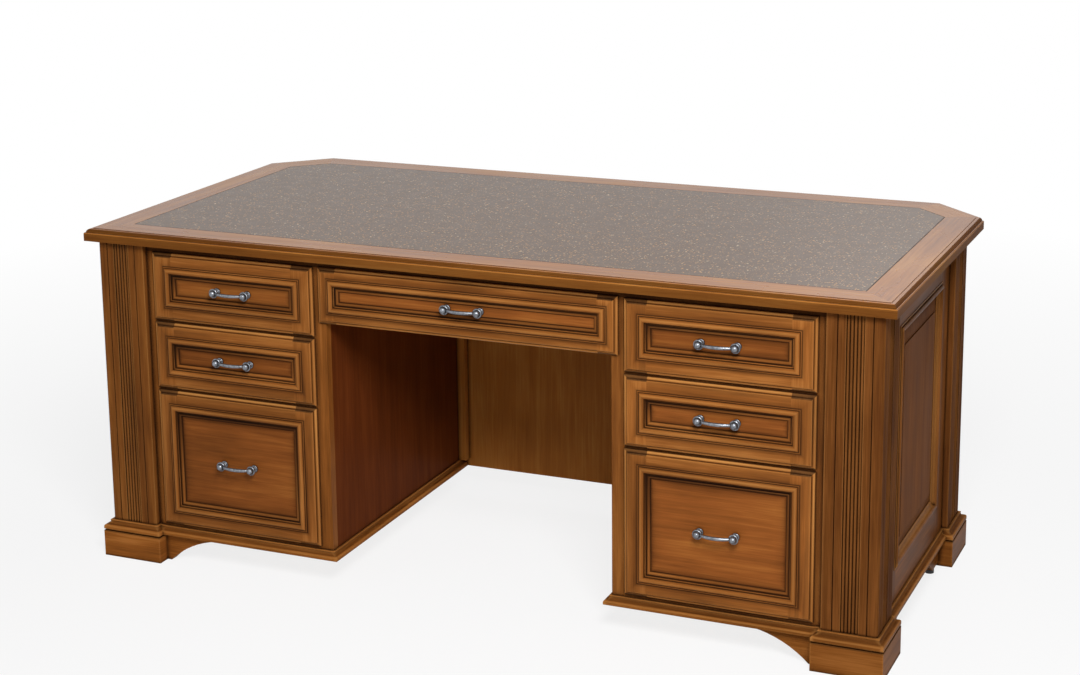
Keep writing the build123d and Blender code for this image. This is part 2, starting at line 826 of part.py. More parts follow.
def write_drawer(name, centre, width, low, high, half_bay, margin, depth, length, full_extension):
    """Write the nodes of one drawer. Returns the case members of its slides."""
    bottom, top = box_levels(low, high)
    level = slide_level(low, high)
    facing = {"x_dir": (1, 0, 0), "z_dir": (0, -1, 0)}
    middle_z = (low + high) / 2
    front_plan = Plane(origin=(centre, face_plane, middle_z), **facing)
    front = drawer_front(width, high - low, half_bay, margin)
    write_node(f"front_{name}", [front_plan * piece for piece in front])
    box_place = Pos(centre, face_plane + rabbet_depth, 0)
    boards = drawer_box(half_bay - slide_width, depth, bottom, top, middle_z)
    write_node(f"box_{name}", [box_place * board for board in boards])
    pull_plan = Plane(origin=(centre, face_plane - pull_seat, middle_z), **facing)
    write_node(f"pull_{name}", [pull_plan * piece for piece in bow_pull()])
    case_member, middle, drawer_member = slide_members(length, full_extension)
    write_node(f"runners_{name}", slide_pair(drawer_member, centre, half_bay, level))
    if middle:
        write_node(f"slide_middles_{name}", slide_pair(middle, centre, half_bay, level))
    return slide_pair(case_member, centre, half_bay, level)


def write_drawers():
    """The seven drawers and the case members of their slides."""
    case_members = []
    half_bay = (bay_out - bay_in) / 2
    for side, sign in (("right", 1), ("left", -1)):
        for drawer, low, high in bay_drawers():
            case_members += write_drawer(
                f"{side}_{drawer}", sign * front_centre, front_width, low, high,
                half_bay, front_margin, box_depth, slide_length, drawer == "file",
            )
    centre_width = kneehole_width + 2 * centre_stile_cover
    case_members += write_drawer(
        "centre", 0, centre_width, centre_front_top - centre_front_height, centre_front_top,
        wall_in, centre_front_margin, centre_box_depth, centre_slide_length, False,
    )
    write_node("case_slides", case_members)


def main():
    """Write every node of the desk."""
    os.makedirs("parts", exist_ok=True)
    write_top()
    write_posts()
    write_node("base_mouldings", both_sides(base_strips()))
    write_feet()
    write_case_panels()
    write_case_boards()
    write_face_frames()
    write_drawers()


main()
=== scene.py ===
"""Dresses the double-pedestal desk: its finishes, drawer fronts, pulls, studio and camera.

Metres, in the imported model's frame: X to the sitter's right, Y to the far side, Z up. The sizes that the drawer
fronts and the pulls hold are millimetres.
"""

from __future__ import annotations

import logging
import math
from dataclasses import dataclass, field, replace
from enum import Enum

import bmesh
import bpy
from mathutils import Matrix, Vector

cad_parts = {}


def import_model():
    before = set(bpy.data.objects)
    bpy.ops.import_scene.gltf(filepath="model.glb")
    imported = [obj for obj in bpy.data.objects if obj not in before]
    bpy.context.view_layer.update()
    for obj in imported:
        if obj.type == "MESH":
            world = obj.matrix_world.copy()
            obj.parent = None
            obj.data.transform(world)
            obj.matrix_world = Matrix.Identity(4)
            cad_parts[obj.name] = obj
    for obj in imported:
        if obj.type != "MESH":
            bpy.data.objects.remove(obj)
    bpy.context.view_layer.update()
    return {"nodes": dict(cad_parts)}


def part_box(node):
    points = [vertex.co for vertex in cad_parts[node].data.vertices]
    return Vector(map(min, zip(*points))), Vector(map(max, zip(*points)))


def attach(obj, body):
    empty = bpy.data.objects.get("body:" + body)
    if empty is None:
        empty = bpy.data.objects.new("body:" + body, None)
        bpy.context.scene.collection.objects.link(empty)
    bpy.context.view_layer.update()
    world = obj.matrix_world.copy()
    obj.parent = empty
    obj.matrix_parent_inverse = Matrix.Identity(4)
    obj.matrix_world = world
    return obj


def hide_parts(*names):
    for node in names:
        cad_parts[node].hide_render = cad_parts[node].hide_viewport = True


LOG = logging.getLogger("desk")
MM = 0.001
# Mesh attribute of glaze and painted shade, and of wear and painted highlight where negative.
GLAZE_AND_LIGHT = "glaze"
BOARD = "board"
WHITE = (1.0, 1.0, 1.0, 1.0)
LEVEL_FACE = 0.9
SAME_PLACE = 1e-6
EIGHTH_RISE = 1 - math.cos(math.pi / 4)

Colour = tuple[float, float, float]
Socket = bpy.types.NodeSocket
Value = float | Socket
Point = tuple[float, float]
Band = tuple[float, float, float]


def paint(code: str) -> Colour:
    """Linear colour of a screen colour.

    Args:
        code: six hexadecimal digits, two each for red, green and blue.

    Returns:
        Linear red, green and blue.
    """
    shares = [int(code[i : i + 2], 16) / 255 for i in (0, 2, 4)]
    return tuple(s / 12.92 if s <= 0.04045 else ((s + 0.055) / 1.055) ** 2.4 for s in shares)


class Grain(Enum):
    """Which way the grain of a board runs."""

    ACROSS = "x"
    DEEP = "y"
    UPRIGHT = "z"
    AROUND = "level, round the corners"
    CLIP = "along the clipped corners"


class NodeSheet:
    """The nodes of one material or of the world, added and linked in reading order."""

    def __init__(self, name: str, blocks: bpy.types.bpy_prop_collection | None = None) -> None:
        """Start an empty sheet.

        Args:
            name: name of the new material or world.
            blocks: the materials, if not given, or the worlds.
        """
        self.block = (bpy.data.materials if blocks is None else blocks).new(name)
        self.block.use_nodes = True
        self.tree = self.block.node_tree
        self.tree.nodes.clear()

    def add(self, kind: str, inputs: dict | None = None, **settings: object) -> bpy.types.Node:
        """Add one node.

        Args:
            kind: the node's type name.
            inputs: values or sockets by the input's name or number.
            settings: the node's own properties.

        Returns:
            The new node.
        """
        node = self.tree.nodes.new(kind)
        for name, value in settings.items():
            setattr(node, name, value)
        for name, value in (inputs or {}).items():
            if isinstance(value, bpy.types.NodeSocket):
                self.tree.links.new(value, node.inputs[name])
            else:
                node.inputs[name].default_value = value
        return node

    def place(self) -> Socket:
        """Place on the piece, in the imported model's frame."""
        return self.add("ShaderNodeTexCoord").outputs["Object"]

    def part(self, vector: Socket, number: int) -> Socket:
        """One coordinate of a place or a direction."""
        return self.add("ShaderNodeSeparateXYZ", {0: vector}).outputs[number]

    def triple(self, value: Socket) -> Socket:
        """One number as all three coordinates, or as a grey."""
        return self.add("ShaderNodeCombineXYZ", dict.fromkeys(range(3), value)).outputs[0]

    def attribute(self, name: str) -> Socket:
        """A number that the mesh carries, or 0 where it has none."""
        return self.add("ShaderNodeAttribute", attribute_name=name).outputs["Fac"]

    def shifted(self, vector: Socket, move: Socket) -> Socket:
        """A place moved by a vector."""
        return self.add("ShaderNodeVectorMath", {0: vector, 1: move}, operation="ADD").outputs[0]

    def math(self, operation: str, first: Value, second: Value = 0.0) -> Socket:
        """Result of a sum on two numbers.

        Args:
            operation: the Math node's operation.
            first: first number.
            second: second number, where the operation has one.

        Returns:
            The result.
        """
        return self.add("ShaderNodeMath", {0: first, 1: second}, operation=operation).outputs[0]

    def spread(self, value: Socket, low: float, high: float, to_low: float = 0.0, to_high: float = 1.0) -> Socket:
        """A number moved from one range to another and held there.

        Args:
            value: the number.
            low: value that becomes to_low.
            high: value that becomes to_high.
            to_low: lower result.
            to_high: higher result.

        Returns:
            The result.
        """
        ends = {"From Min": low, "From Max": high, "To Min": to_low, "To Max": to_high}
        return self.add("ShaderNodeMapRange", {"Value": value, **ends}).outputs[0]

    def blend(self, share: Value, first: Colour | Socket, second: Colour | Socket, mode: str = "MIX") -> Socket:
        """Two colours mixed.

        Args:
            share: how much of the second there is.
            first: first colour.
            second: second colour.
            mode: the Mix node's blend type.

        Returns:
            The mixed colour.
        """
        first, second = (c if isinstance(c, bpy.types.NodeSocket) else (*c, 1.0) for c in (first, second))
        inputs = {0: share, 6: first, 7: second}
        return self.add("ShaderNodeMix", inputs, data_type="RGBA", blend_type=mode, clamp_factor=True).outputs[2]

    def ramp(self, value: Socket, stops: list[tuple[float, Colour]]) -> Socket:
        """Colour read from a ramp.

        Args:
            value: place on the ramp.
            stops: places and their colours, in order.

        Returns:
            The colour.
        """
        node = self.add("ShaderNodeValToRGB", {0: value})
        elements = node.color_ramp.elements
        while len(elements) < len(stops):
            elements.new(0.5)
        for element, (place, colour) in zip(elements, stops):
            element.position = place
            element.color = (*colour, 1.0)
        return node.outputs[0]

    def noise(self, vector: Socket, scale: float, detail: float = 2.0, rough: float = 0.5, bend: float = 0.0) -> Socket:
        """Cloudy pattern.

        Args:
            vector: where it is read.
            scale: clouds to the metre.
            detail: finer layers.
            rough: strength of the finer layers.
            bend: how far it is bent by itself.

        Returns:
            A number about 0.5.
        """
        inputs = {"Vector": vector, "Scale": scale, "Detail": detail, "Roughness": rough, "Distortion": bend}
        return self.add("ShaderNodeTexNoise", inputs).outputs["Fac"]

    def stretch(self, vector: Socket, scale: tuple[float, float, float]) -> Socket:
        """A place scaled along each axis."""
        return self.add("ShaderNodeMapping", {"Vector": vector, "Scale": scale}).outputs[0]

    def recess(self, reach: float, inside: bool = False) -> Socket:
        """How hidden a point is within a short reach.

        Args:
            reach: how far to look.
            inside: look into the piece, which finds its ridges, and not out of it, which finds its grooves.

        Returns:
            0 in the open and up to 1 where hidden.
        """
        node = self.add("ShaderNodeAmbientOcclusion", {"Distance": reach}, samples=6, inside=inside, only_local=inside)
        return self.math("SUBTRACT", 1.0, node.outputs["AO"])

    def bump(self, height: Socket, strength: float, depth: float) -> Socket:
        """Normal roughened by a height.

        Args:
            height: the height, from 0 to 1.
            strength: how much of it shows.
            depth: metres from 0 to 1.

        Returns:
            The normal.
        """
        inputs = {"Height": height, "Strength": strength, "Distance": depth}
        return self.add("ShaderNodeBump", inputs).outputs[0]

    def seen(self) -> Socket:
        """1 for what the camera sees, also in metal and glass, and 0 for what only lights the desk."""
        path = self.add("ShaderNodeLightPath").outputs
        direct = self.math("MAXIMUM", path["Is Camera Ray"], path["Is Glossy Ray"])
        return self.math("MAXIMUM", direct, path["Is Transmission Ray"])

    def surface(self, inputs: dict) -> bpy.types.Material:
        """Close the material with its surface.

        Args:
            inputs: values or sockets for the surface shader.

        Returns:
            The finished material.
        """
        shader = self.add("ShaderNodeBsdfPrincipled", inputs)
        self.add("ShaderNodeOutputMaterial", {"Surface": shader.outputs[0]})
        return self.block


@dataclass(frozen=True)
class WoodTone:
    """Colours of a stained wood, as screen colours."""

    dark: str
    middle: str
    light: str
    glaze: str
    worn: str


CHERRY = WoodTone(dark="673c18", middle="864f20", light="a16630", glaze="1e0e06", worn="c48848")
PANEL_CHERRY = WoodTone(dark="683b17", middle="854b1f", light="9c602a", glaze="200f06", worn="b5763a")
MID_CHERRY = WoodTone(dark="5a3315", middle="77461d", light="915b29", glaze="1c0c05", worn="b17c41")
DEEP_CHERRY = WoodTone(dark="532d13", middle="6c3f1c", light="865126", glaze="1c0c05", worn="9c6833")
# Darker copy of the cherry for the right-hand posts: painted shade.
SHADE_PAINTED_CHERRY = WoodTone(dark="4c2812", middle="633a19", light="7c4b23", glaze="1a0c05", worn="a06b37")
END_GRAIN = WoodTone(dark="3e2613", middle="57371d", light="6e4825", glaze="1c0c05", worn="6e4825")
BORDER_CHERRY = WoodTone(dark="8a5222", middle="a5672c", light="bb7e3c", glaze="2a1202", worn="cf9350")
# Darker copy of the cherry for the knee-hole walls under the top: painted shade.
SHADED_CHERRY = WoodTone(dark="4c240e", middle="612f13", light="753d1b", glaze="170904", worn="8a5828")
MAPLE = WoodTone(dark="b98f5f", middle="cfa877", light="dfbd8f", glaze="8a6238", worn="e8cda4")


@dataclass(frozen=True)
class RailZone:
    """Part of a frame whose grain runs level: where one coordinate, without its sign, is near a value."""

    axis: int
    middle: float
    half: float
    grain: Grain
    mirrored: bool = True


@dataclass(frozen=True)
class FigureLayer:
    """One pattern in a wood's figure: how it is stretched with the grain, its noise, and its share in the colour."""

    run: float
    scale: float
    detail: float
    rough: float
    bend: float
    share: float

    def drawn(self, sheet: NodeSheet, place: Socket) -> Socket:
        """The pattern at a place that is turned with the grain."""
        return sheet.noise(sheet.stretch(place, (self.run, 1.0, 1.0)), self.scale, self.detail, self.rough, self.bend)


RINGS = FigureLayer(run=0.10, scale=5.0, detail=2.0, rough=0.4, bend=0.3, share=0.15)
STREAK = FigureLayer(run=0.04, scale=110.0, detail=4.0, rough=0.6, bend=0.4, share=0.72)
FIBRE = FigureLayer(run=0.03, scale=420.0, detail=2.0, rough=0.6, bend=0.0, share=0.46)
BLOTCH = FigureLayer(run=0.45, scale=9.0, detail=3.0, rough=0.55, bend=0.0, share=0.50)
CLOUD = FigureLayer(run=1.0, scale=3.6, detail=2.0, rough=0.5, bend=0.0, share=0.48)


@dataclass(frozen=True)
class GlazedWood:
    """Stained wood with dark glaze and painted shade in its grooves, worn ridges and a satin lacquer.

    A band is its lower and upper height and its share, of painted shade where positive and of painted highlight where
    negative. The side-light setting paints light at the desk's left end and shade at its right end.
    """

    name: str
    grain: Grain
    tone: WoodTone = CHERRY
    glaze: float = 0.9
    glaze_reach: float = 0.010
    glaze_full: float = 0.50
    wear: float = 0.5
    wear_reach: float = 0.006
    roughness: float = 0.34
    shine: float = 0.025
    contrast: float = 1.6
    figure_half: float = 0.45
    ring_turns: float = 52.0
    board_shade: float = 0.20
    painted_side_light: float = 0.0
    painted_side_light_half: float = 0.9
    band_softness: float = 0.0004
    rails: RailZone | None = None
    painted_light_bands: tuple[Band, ...] = ()

    def along_grain(self, sheet: NodeSheet, grain: Grain) -> Socket:
        """Place on the piece, turned so that its first coordinate runs with the grain.

        Args:
            sheet: the material's nodes.
            grain: which way the grain runs.

        Returns:
            The turned place.
        """
        x, y, z = sheet.add("ShaderNodeSeparateXYZ", {0: sheet.place()}).outputs
        straight = {Grain.ACROSS: (x, y, z), Grain.DEEP: (y, x, z), Grain.UPRIGHT: (z, x, y)}
        if grain in straight:
            order = straight[grain]
        elif grain is Grain.AROUND:
            facing = sheet.add("ShaderNodeTexCoord").outputs["Normal"]
            level = sheet.math("GREATER_THAN", sheet.math("ABSOLUTE", sheet.part(facing, 2)), LEVEL_FACE)
            run = sheet.math("MULTIPLY", y, sheet.math("SUBTRACT", 1.0, level))
            order = (sheet.math("ADD", x, run), sheet.math("ADD", z, sheet.math("MULTIPLY", y, level)), 0.0)
        else:
            outward = sheet.math("ABSOLUTE", x)
            order = (sheet.math("SUBTRACT", outward, y), sheet.math("ADD", outward, y), z)
        return sheet.add("ShaderNodeCombineXYZ", dict(enumerate(order))).outputs[0]

    def turned_place(self, sheet: NodeSheet) -> Socket:
        """Place turned with the grain, also where rails cross the stiles.

        Args:
            sheet: the material's nodes.

        Returns:
            The turned place.
        """
        main = self.along_grain(sheet, self.grain)
        if self.rails is None:
            return main
        part = sheet.part(sheet.place(), self.rails.axis)
        if self.rails.mirrored:
            part = sheet.math("ABSOLUTE", part)
        away = sheet.math("ABSOLUTE", sheet.math("SUBTRACT", part, self.rails.middle))
        share = sheet.math("LESS_THAN", away, self.rails.half)
        inputs = {0: share, 4: main, 5: self.along_grain(sheet, self.rails.grain)}
        return sheet.add("ShaderNodeMix", inputs, data_type="VECTOR").outputs[1]

    def band(self, sheet: NodeSheet, low: float, high: float, share: float) -> Socket:
        """A level band with soft edges.

        Args:
            sheet: the material's nodes.
            low: height of its lower edge.
            high: height of its upper edge.
            share: strength in it.

        Returns:
            The strength.
        """
        height, soft = sheet.part(sheet.place(), 2), self.band_softness
        over = sheet.spread(height, low - soft, low + soft, 0.0, share)
        return sheet.math("MULTIPLY", over, sheet.spread(height, high + soft, high - soft))

    def figure(self, sheet: NodeSheet) -> tuple[Socket, dict[FigureLayer, Socket]]:
        """Grain, growth rings, blotches and the boards' own shades.

        Args:
            sheet: the material's nodes.

        Returns:
            The wood's colour before wear and glaze, and the patterns that these follow.
        """
        board = sheet.attribute(BOARD)
        place = sheet.shifted(self.turned_place(sheet), sheet.triple(board))
        rings = sheet.math("SINE", sheet.math("MULTIPLY", RINGS.drawn(sheet, place), self.ring_turns))
        total = sheet.math("MULTIPLY", sheet.spread(rings, -1.0, 1.0), RINGS.share)
        patterns = {layer: layer.drawn(sheet, place) for layer in (STREAK, FIBRE, BLOTCH, CLOUD)}
        for layer, pattern in patterns.items():
            total = sheet.math("ADD", total, sheet.math("MULTIPLY", pattern, layer.share))
        middle = (RINGS.share + sum(layer.share for layer in patterns)) / 2
        half = self.figure_half / self.contrast
        tones = [paint(code) for code in (self.tone.dark, self.tone.middle, self.tone.light)]
        colour = sheet.ramp(sheet.spread(total, middle - half, middle + half), list(zip((0.0, 0.5, 1.0), tones)))
        tint = sheet.spread(board, -1.0, 1.0, 1.0 - self.board_shade, 1.0 + self.board_shade)
        # Painted light at the desk's left end and painted shade at its right end.
        if self.painted_side_light > 0:
            along = sheet.part(sheet.place(), 0)
            side_lit = sheet.spread(along, -self.painted_side_light_half, self.painted_side_light_half, 1.0 + self.painted_side_light, 1.0 - self.painted_side_light)
            tint = sheet.math("MULTIPLY", tint, side_lit)
        return sheet.blend(1.0, colour, sheet.triple(tint), "MULTIPLY"), patterns

    def rubbed(self, sheet: NodeSheet) -> tuple[Socket, Socket]:
        """Wear and painted highlight, glaze and painted shade: found by occlusion, set by the mesh and in the bands.

        Args:
            sheet: the material's nodes.

        Returns:
            Strength of the wear with painted highlight, and of the glaze with painted shade.
        """
        painted = sheet.attribute(GLAZE_AND_LIGHT)
        worn = sheet.math("MULTIPLY", painted, -1.0)
        if self.wear > 0:
            ridge = sheet.spread(sheet.recess(self.wear_reach, inside=True), 0.25, 0.75, 0.0, self.wear)
            worn = sheet.math("MAXIMUM", worn, ridge)
        # Occlusion darkens recesses: partly glaze, partly painted shade where shadow falls.
        groove = sheet.spread(sheet.recess(self.glaze_reach), 0.06, self.glaze_full, 0.0, self.glaze)
        groove = sheet.math("MULTIPLY", groove, sheet.spread(painted, -0.6, 0.0, 0.2, 1.0))
        groove = sheet.math("MAXIMUM", groove, painted)
        for low, high, share in self.painted_light_bands:
            band = self.band(sheet, low, high, abs(share))
            if share > 0:
                groove = sheet.math("MAXIMUM", groove, band)
            else:
                worn = sheet.math("MAXIMUM", worn, band)
        return worn, groove

    def material(self) -> bpy.types.Material:
        """The finished material."""
        sheet = NodeSheet(self.name)
        colour, patterns = self.figure(sheet)
        worn, groove = self.rubbed(sheet)
        # Wear and painted highlight lighten the colour; glaze and painted shade darken it.
        patchy = sheet.math("MULTIPLY", worn, sheet.spread(patterns[BLOTCH], 0.25, 0.75, 0.6, 1.2))
        colour = sheet.blend(patchy, colour, paint(self.tone.worn))
        streaky = sheet.math("MULTIPLY", groove, sheet.spread(patterns[STREAK], 0.3, 0.7, 0.85, 1.05))
        colour = sheet.blend(streaky, colour, paint(self.tone.glaze))
        lacquer = sheet.spread(patterns[BLOTCH], 0.3, 0.7, self.roughness - 0.05, self.roughness + 0.05)
        return sheet.surface({
            "Base Color": colour,
            "Roughness": sheet.math("ADD", lacquer, sheet.math("MULTIPLY", groove, 0.4)),
            "Specular IOR Level": self.shine,
            "Normal": sheet.bump(patterns[FIBRE], 0.10, 0.0002),
        })


@dataclass(frozen=True)
class InlayOutline:
    """Edges of the inlay: half its width, its near and far edges, and the sum of X and Y on its clipped corners."""

    half: float
    near: float
    far: float
    clip: float


@dataclass(frozen=True)
class FleckLayer:
    """Chips of one kind: cells to the metre, radius in cells, share of the cells left empty, colour and strength."""

    scale: float
    radius: float
    empty: float
    colour: str
    strength: float


@dataclass(frozen=True)
class SpeckledInlay:
    """Dark writing surface with small golden flecks under a satin face."""

    name: str = "speckled_inlay"
    ground: str = "523a26"
    cloud: str = "64482f"
    seam_line: str = "22160e"
    seam: float = 0.0030
    layers: tuple[FleckLayer, ...] = (
        FleckLayer(150.0, 0.34, 0.72, "dca258", 0.95),
        FleckLayer(120.0, 0.25, 0.78, "e6d0a8", 1.0),
        FleckLayer(280.0, 0.38, 0.78, "dca258", 0.7),
    )

    def edge_line(self, sheet: NodeSheet, place: Socket, outline: InlayOutline) -> Socket:
        """Dark seam where the sheet meets its border.

        Args:
            sheet: the material's nodes.
            place: where it is read.
            outline: the sheet's edges.

        Returns:
            1 in the seam and 0 off it.
        """
        x, y, _ = sheet.add("ShaderNodeSeparateXYZ", {0: place}).outputs
        outward = sheet.math("ABSOLUTE", x)
        corner = sheet.math("SUBTRACT", outline.clip, sheet.math("ADD", outward, y))
        gap = sheet.math("MULTIPLY", corner, math.sqrt(0.5))
        for outer, inner in ((outline.half, outward), (y, outline.near), (outline.far, y)):
            gap = sheet.math("MINIMUM", gap, sheet.math("SUBTRACT", outer, inner))
        return sheet.spread(gap, self.seam, self.seam * 0.5)

    def flecks(self, sheet: NodeSheet, place: Socket, layer: FleckLayer) -> Socket:
        """Scattered chips of one kind.

        Args:
            sheet: the material's nodes.
            place: where they are read.
            layer: the kind.

        Returns:
            Strength of the chips, and 0 off them.
        """
        inputs = {"Vector": place, "Scale": layer.scale * 2.2, "Detail": 1.0}
        bent = sheet.add("ShaderNodeTexNoise", inputs).outputs["Color"]
        bend = sheet.add("ShaderNodeVectorMath", {0: bent, "Scale": 0.9 / layer.scale}, operation="SCALE").outputs[0]
        cells = sheet.add("ShaderNodeTexVoronoi", {"Vector": sheet.shifted(place, bend), "Scale": layer.scale})
        red = sheet.add("ShaderNodeSeparateColor", {0: cells.outputs["Color"]}).outputs[0]
        chip = sheet.spread(cells.outputs["Distance"], layer.radius, layer.radius * 0.55)
        chip = sheet.math("MULTIPLY", chip, sheet.math("GREATER_THAN", red, layer.empty))
        return sheet.math("MULTIPLY", chip, layer.strength)

    def material(self, outline: InlayOutline) -> bpy.types.Material:
        """The finished material.

        Args:
            outline: the sheet's edges.

        Returns:
            The material.
        """
        sheet = NodeSheet(self.name)
        place = sheet.place()
        flat = sheet.stretch(place, (1.0, 1.0, 0.0))
        cloud = sheet.noise(flat, 420.0, 2.0, 0.6)
        colour = sheet.blend(sheet.spread(cloud, 0.35, 0.65), paint(self.ground), paint(self.cloud))
        for layer in self.layers:
            colour = sheet.blend(self.flecks(sheet, flat, layer), colour, paint(layer.colour))
        filled = sheet.spread(sheet.noise(flat, 14.0, 3.0), 0.35, 0.6, 0.55, 1.0)
        seam = sheet.math("MULTIPLY", self.edge_line(sheet, place, outline), filled)
        satin = sheet.spread(sheet.noise(flat, 30.0), 0.3, 0.7, 0.29, 0.33)
        return sheet.surface({
            "Base Color": sheet.blend(seam, colour, paint(self.seam_line)),
            "Roughness": sheet.math("ADD", satin, sheet.math("MULTIPLY", seam, 0.5)),
            "Specular IOR Level": 0.25,
            "Normal": sheet.bump(sheet.noise(flat, 900.0), 0.08, 0.0001),
        })


@dataclass(frozen=True)
class Pewter:
    """Antiqued pewter: bright where hands rub it and dark in its grooves."""

    name: str = "antiqued_pewter"
    bright: str = "94989f"
    dull: str = "54575c"
    soot: str = "0e0e0f"
    soot_reach: float = 0.005

    def material(self) -> bpy.types.Material:
        """The finished material."""
        sheet = NodeSheet(self.name)
        place = sheet.place()
        cloud = sheet.noise(place, 220.0, 4.0, 0.65)
        colour = sheet.blend(sheet.spread(cloud, 0.35, 0.7), paint(self.bright), paint(self.dull))
        groove = sheet.spread(sheet.recess(self.soot_reach), 0.15, 0.48, 0.0, 0.97)
        satin = sheet.spread(cloud, 0.3, 0.7, 0.34, 0.44)
        return sheet.surface({
            "Base Color": sheet.blend(groove, colour, paint(self.soot)),
            "Metallic": 1.0,
            "Roughness": sheet.math("ADD", satin, sheet.math("MULTIPLY", groove, 0.3)),
            "Normal": sheet.bump(sheet.noise(place, 1500.0), 0.06, 0.00008),
        })


@dataclass(frozen=True)
class PlatedSteel:
    """Zinc-plated steel of the drawer slides."""

    name: str = "plated_steel"
    bright: str = "b4b6b8"
    dull: str = "8c8f92"

    def material(self) -> bpy.types.Material:
        """The finished material."""
        sheet = NodeSheet(self.name)
        place = sheet.place()
        rolled = sheet.noise(sheet.stretch(place, (1.0, 0.02, 1.0)), 700.0, 3.0, 0.6)
        spangle = sheet.spread(sheet.noise(place, 60.0), 0.35, 0.65)
        return sheet.surface({
            "Base Color": sheet.blend(spangle, paint(self.bright), paint(self.dull)),
            "Metallic": 1.0,
            "Roughness": sheet.spread(rolled, 0.3, 0.7, 0.26, 0.42),
            "Normal": sheet.bump(rolled, 0.08, 0.0001),
        })


@dataclass(frozen=True)
class MouldedPlastic:
    """Black moulded plastic of the glides, scuffed where it slides."""

    name: str = "glide_plastic"
    fresh: str = "141414"
    scuffed: str = "3a3937"

    def material(self) -> bpy.types.Material:
        """The finished material."""
        sheet = NodeSheet(self.name)
        place = sheet.place()
        scuff = sheet.noise(place, 120.0, 4.0, 0.7)
        return sheet.surface({
            "Base Color": sheet.blend(sheet.spread(scuff, 0.55, 0.75), paint(self.fresh), paint(self.scuffed)),
            "Roughness": sheet.spread(scuff, 0.3, 0.7, 0.42, 0.60),
            "Normal": sheet.bump(sheet.noise(place, 900.0), 0.2, 0.0002),
        })


@dataclass(frozen=True)
class PressedBoard:
    """Pressed chip board of the top's core."""

    name: str = "pressed_board"
    pale: str = "b08d62"
    dark: str = "7c5c38"

    def material(self) -> bpy.types.Material:
        """The finished material."""
        sheet = NodeSheet(self.name)
        chips = sheet.add("ShaderNodeTexVoronoi", {"Vector": sheet.place(), "Scale": 260.0})
        shade = sheet.add("ShaderNodeSeparateColor", {0: chips.outputs["Color"]}).outputs[0]
        return sheet.surface({
            "Base Color": sheet.blend(shade, paint(self.pale), paint(self.dark)),
            "Roughness": 0.8,
            "Normal": sheet.bump(chips.outputs["Distance"], 0.3, 0.0003),
        })


class Bench:
    """Modelling by hand: the operators that every new piece is made with."""

    @staticmethod
    def clear_selection() -> None:
        """Leave edit mode and deselect everything."""
        if bpy.context.mode != "OBJECT":
            bpy.ops.object.mode_set(mode="OBJECT")
        bpy.ops.object.select_all(action="DESELECT")

    @staticmethod
    def choose(*pieces: bpy.types.Object) -> None:
        """Select pieces and nothing else, with the first one active.

        Args:
            pieces: the pieces.
        """
        Bench.clear_selection()
        for piece in pieces:
            piece.select_set(True)
        bpy.context.view_layer.objects.active = pieces[0]

    @staticmethod
    def rename(piece: bpy.types.Object, name: str) -> None:
        """Name a piece and its mesh."""
        piece.name = name
        piece.data.name = name

    @staticmethod
    def name_new(name: str) -> bpy.types.Object:
        """Name the primitive just added and put its place into its mesh.

        Args:
            name: the piece's name.

        Returns:
            The piece.
        """
        piece = bpy.context.active_object
        Bench.rename(piece, name)
        bpy.ops.object.transform_apply(location=True, rotation=True, scale=True)
        return piece

    @staticmethod
    def pick_face(piece: bpy.types.Object, direction: Vector) -> None:
        """Select the one face, in edit mode, that looks furthest along a direction.

        Args:
            piece: the piece being shaped.
            direction: where the face looks.
        """
        bpy.ops.mesh.select_mode(type="FACE")
        bpy.ops.mesh.select_all(action="DESELECT")
        work = bmesh.from_edit_mesh(piece.data)
        chosen = max(work.faces, key=lambda face: (face.normal + face.calc_center_median()).dot(direction))
        chosen.select = True
        bmesh.update_edit_mesh(piece.data)

    @staticmethod
    def step(inward: float, outward: float, normal: Vector) -> None:
        """Carry the selected face one step along a profile.

        Args:
            inward: how far its edges move in.
            outward: how far it moves along its normal.
            normal: the way it faces.
        """
        if inward > SAME_PLACE:
            bpy.ops.mesh.inset(thickness=inward, depth=outward)
        else:
            bpy.ops.mesh.extrude_region_move(TRANSFORM_OT_translate={"value": normal * outward})

    @staticmethod
    def finish(piece: bpy.types.Object, angle: float) -> None:
        """Merge doubles, turn the faces outwards and smooth the shallow edges.

        Args:
            piece: the piece.
            angle: edges shallower than this are smooth, in degrees.
        """
        Bench.choose(piece)
        bpy.ops.object.mode_set(mode="EDIT")
        bpy.ops.mesh.select_all(action="SELECT")
        bpy.ops.mesh.remove_doubles(threshold=SAME_PLACE)
        bpy.ops.mesh.normals_make_consistent(inside=False)
        bpy.ops.object.mode_set(mode="OBJECT")
        bpy.ops.object.shade_smooth_by_angle(angle=math.radians(angle))

    @staticmethod
    def copy(piece: bpy.types.Object, name: str, move: Vector) -> bpy.types.Object:
        """Copy a piece with a mesh of its own.

        Args:
            piece: what is copied.
            name: the copy's name.
            move: how far the copy is from it.

        Returns:
            The copy.
        """
        Bench.choose(piece)
        bpy.ops.object.duplicate(linked=False)
        twin = bpy.context.active_object
        Bench.rename(twin, name)
        twin.location = move
        bpy.ops.object.transform_apply(location=True, rotation=False, scale=False)
        return twin

    @staticmethod
    def join(name: str, pieces: list[bpy.types.Object]) -> bpy.types.Object:
        """Join pieces into the first.

        Args:
            name: name of the joined piece.
            pieces: the pieces.

        Returns:
            The joined piece.
        """
        Bench.choose(*pieces)
        bpy.ops.object.join()
        Bench.rename(pieces[0], name)
        return pieces[0]


